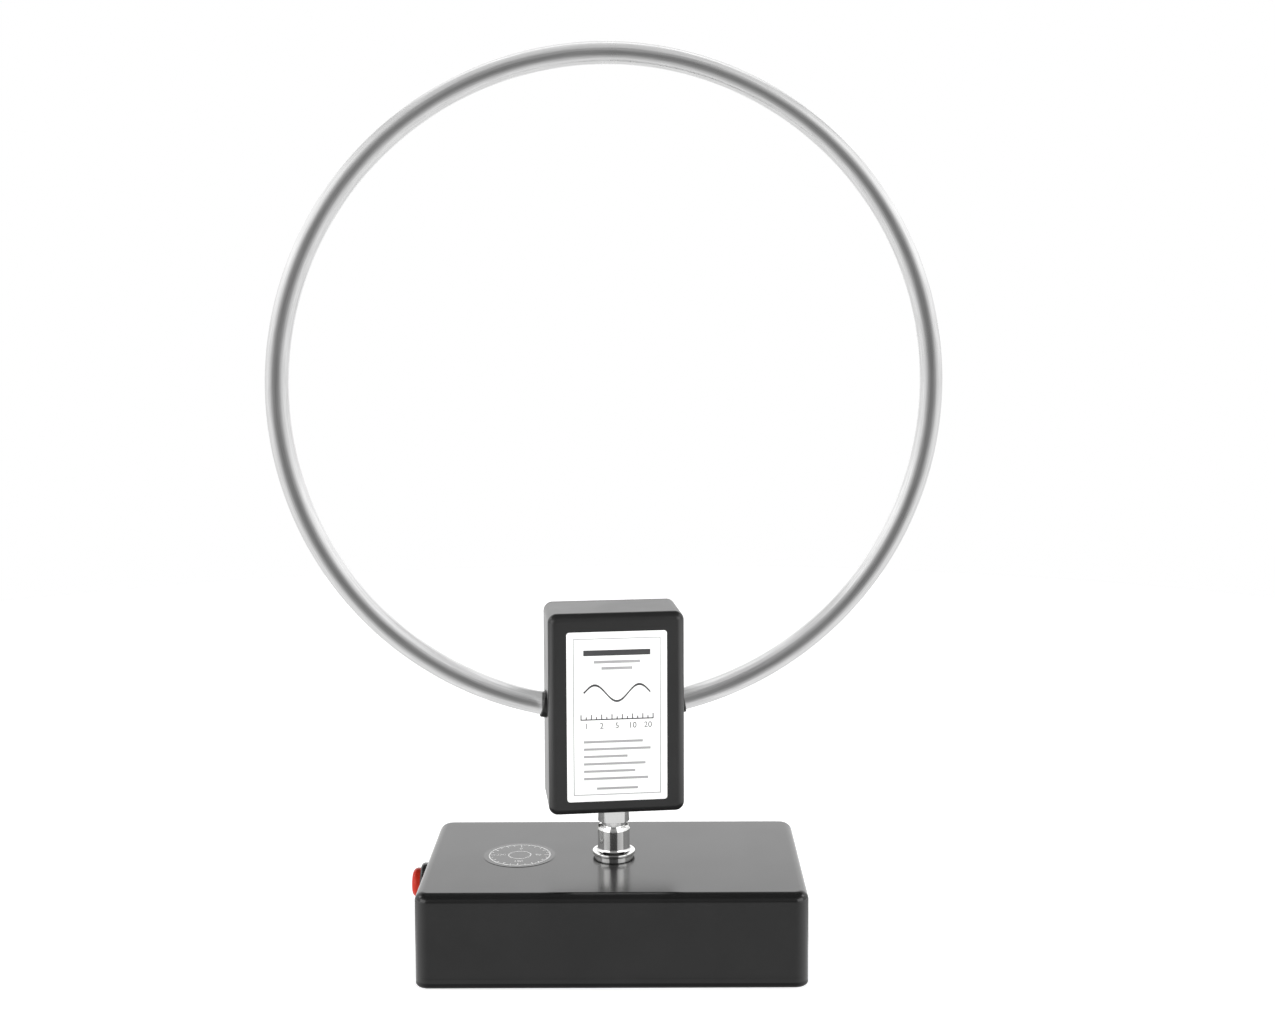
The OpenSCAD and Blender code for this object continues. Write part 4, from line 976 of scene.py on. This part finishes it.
studio = {
    "floor": 0.88, "floorGlow": 0.6, "floorRadius": 0.9,
    # brightness of the room by direction, from straight ahead of the object to straight behind it
    "room": ((0.0, 0.24), (0.045, 0.34), (0.085, 0.47), (0.14, 0.69), (0.21, 0.94), (0.29, 1.17),
             (0.39, 1.33), (0.5, 1.38), (0.72, 1.34), (0.82, 1.18), (0.9, 1.16), (0.94, 1.7), (0.95, 1.75),
             (0.978, 1.75), (0.99, 1.52), (1.0, 1.4)),
    "roomTop": 1.8,
    # dimmer towards the horizon and overhead; the pairs say where each change starts and ends
    "horizon": 0.75, "horizonRise": (0.04, 0.3), "overhead": 0.15, "overheadRise": (0.42, 0.8),
    "highBehind": 0.12, "behindFrom": (-0.15, 0.3),
}
# panels come singly or as a left and right pair; some light the ring alone, or all but the ring
panels = {
    "corner": {"place": (1.07, 0.2, 0.8), "aim": (0, 0, 0.1), "size": (0.38, 0.38), "glow": 3.3, "pair": True,
               "ring": "EXCLUDE"},
    "front": {"place": (1.0, -0.84, 0.42), "aim": (0, 0, 0.1), "size": (1.1, 0.7), "glow": 2.3, "pair": True,
              "ring": "EXCLUDE"},
    "fill": {"place": (0.9, -1.1, 0.95), "aim": (0, 0, 0.1), "size": (1.0, 1.0), "glow": 0.5, "pair": True,
             "mirrored": False},
    "bounce": {"place": (0, -0.29, 0.002), "aim": (0, -0.29, 1), "size": (0.6, 0.56), "glow": 0.55,
               "ring": "EXCLUDE"},
    "side-bounce": {"place": (0.55, -0.2, 0.002), "aim": (0.55, -0.2, 1), "size": (0.5, 0.7), "glow": 2.0,
                    "pair": True, "ring": "EXCLUDE"},
    "ring-foot": {"place": (0, 0, 0.037), "aim": (0, 0, 1), "size": (0.148, 0.09), "glow": 0.9,
                  "ring": "INCLUDE"},
    "ring-over": {"place": (0, -0.35, 1.6), "aim": (0, -0.35, 0), "size": (3.8, 1.9), "glow": 0.58,
                  "ring": "INCLUDE"},
    "ring-side": {"place": (0.0276, 0, 0.097), "aim": (1, 0, 0.097), "size": (0.028, 0.074), "glow": 0.42,
                  "pair": True, "ring": "INCLUDE"},
    "ring-top": {"place": (0, 0.85, 1.85), "aim": (0, 0, 0.3), "size": (2.4, 1.4), "glow": 0.8,
                 "ring": "INCLUDE"},
}


def buildFloor():
    clearSelection()
    bpy.ops.mesh.primitive_circle_add(vertices=128, radius=studio["floorRadius"], fill_type="NGON",
                                      location=(0, 0, 0))
    floor = takeNew("floor")
    paint = {"Base Color": (*grey(studio["floor"]), 1), "Emission Color": (1, 1, 1, 1),
             "Emission Strength": studio["floorGlow"], "Roughness": 0.9}
    floor.data.materials.append(newFinish("paleFloor", **paint)[0])
    floor.visible_glossy = False


def buildWorld():
    # a white tent that is dim where the photographer stands; the camera itself sees plain white
    world = bpy.data.worlds.new("studio")
    bpy.context.scene.world = world
    world.use_nodes = True
    tree = world.node_tree
    tree.nodes.clear()
    way = addNode(tree, "SeparateXYZ", {"Vector": addNode(tree, "TexCoord").outputs["Generated"]}).outputs

    def change(value, span, start, end):
        limits = {"Value": value, "From Min": span[0], "From Max": span[1], "To Min": start, "To Max": end}
        return addNode(tree, "MapRange", limits, interpolation_type="SMOOTHSTEP").outputs["Result"]

    def times(first, second):
        return addNode(tree, "Math", {0: first, 1: second}, operation="MULTIPLY").outputs["Value"]

    depth = addNode(tree, "MapRange", {"Value": way["Y"], "From Min": -1.0, "From Max": 1.0})
    ramp = addNode(tree, "ValToRGB", {"Fac": depth.outputs["Result"]})
    ramp.color_ramp.elements.remove(ramp.color_ramp.elements[1])
    for i, (place, level) in enumerate(studio["room"]):
        element = ramp.color_ramp.elements[0] if i == 0 else ramp.color_ramp.elements.new(place)
        element.position = place
        element.color = (*grey(level / studio["roomTop"]), 1)
    room = times(ramp.outputs["Color"], studio["roomTop"])
    room = times(room, change(way["Z"], studio["horizonRise"], studio["horizon"], 1.0))
    above = change(way["Z"], studio["overheadRise"], 0.0, 1.0)
    kept = change(way["Y"], studio["behindFrom"], studio["overhead"], studio["highBehind"])
    level = times(room, addNode(tree, "Mix", {"Factor": above, "A": 1.0, "B": kept}).outputs["Result"])
    tent = addNode(tree, "Background", {"Color": (1, 1, 1, 1), "Strength": level})
    plain = addNode(tree, "Background", {"Color": (1, 1, 1, 1), "Strength": 1.0})
    seen = addNode(tree, "LightPath").outputs["Is Camera Ray"]
    mixed = addNode(tree, "MixShader", {"Fac": seen, 1: tent.outputs["Background"],
                                        2: plain.outputs["Background"]})
    end = addNode(tree, "OutputWorld")
    tree.links.new(mixed.outputs["Shader"], end.inputs["Surface"])


def ringGroup(state):
    group = bpy.data.collections.new("ring-" + state.lower())
    group.objects.link(bpy.data.objects["loop-tube"])
    group.collection_objects[0].light_linking.link_state = state
    return group


def buildPanel(name, panel, side, ringGroups):
    data = bpy.data.lights.new(name, "AREA")
    data.shape = "RECTANGLE"
    data.size, data.size_y = panel["size"]
    data.energy = math.pi * data.size * data.size_y * panel["glow"]
    lamp = bpy.data.objects.new(name, data)
    place, aim = (Vector((side * x, y, z)) for x, y, z in (panel["place"], panel["aim"]))
    lamp.location = place
    lamp.rotation_mode = "QUATERNION"
    lamp.rotation_quaternion = (aim - place).to_track_quat("-Z", "Y")
    lamp.visible_camera = False
    lamp.visible_glossy = panel.get("mirrored", True)
    if "ring" in panel:
        lamp.light_linking.receiver_collection = ringGroups[panel["ring"]]
    bpy.context.scene.collection.objects.link(lamp)


def buildLights():
    ringGroups = {state: ringGroup(state) for state in ("INCLUDE", "EXCLUDE")}
    for name, panel in panels.items():
        for side in (-1, 1) if panel.get("pair") else (1,):
            buildPanel(f"{name}-{'left' if side < 0 else 'right'}", panel, side, ringGroups)


camera = {"x": 16.07, "away": 671.63, "height": 265.66, "pitch": 4.555, "roll": 0.186, "lens": 48.746,
          "sensor": 36, "shiftX": -0.012, "shiftY": -0.08, "clip": (0.01, 50)}


def buildCamera():
    data = bpy.data.cameras.new("camera")
    data.lens, data.sensor_width = camera["lens"], camera["sensor"]
    data.shift_x, data.shift_y = camera["shiftX"], camera["shiftY"]
    data.clip_start, data.clip_end = camera["clip"]
    eye = bpy.data.objects.new("camera", data)
    eye.location = (camera["x"] * mm, -camera["away"] * mm, camera["height"] * mm)
    look = Vector((0, 1, -math.tan(math.radians(camera["pitch"]))))
    eye.rotation_mode = "QUATERNION"
    roll = Quaternion((0, 0, 1), -math.radians(camera["roll"]))
    eye.rotation_quaternion = look.to_track_quat("-Z", "Y") @ roll
    bpy.context.scene.collection.objects.link(eye)
    bpy.context.scene.camera = eye


buildFloor()
buildWorld()
buildLights()
buildCamera()
bpy.context.scene.view_settings.view_transform = "Standard"
clearSelection()
print("studio built")
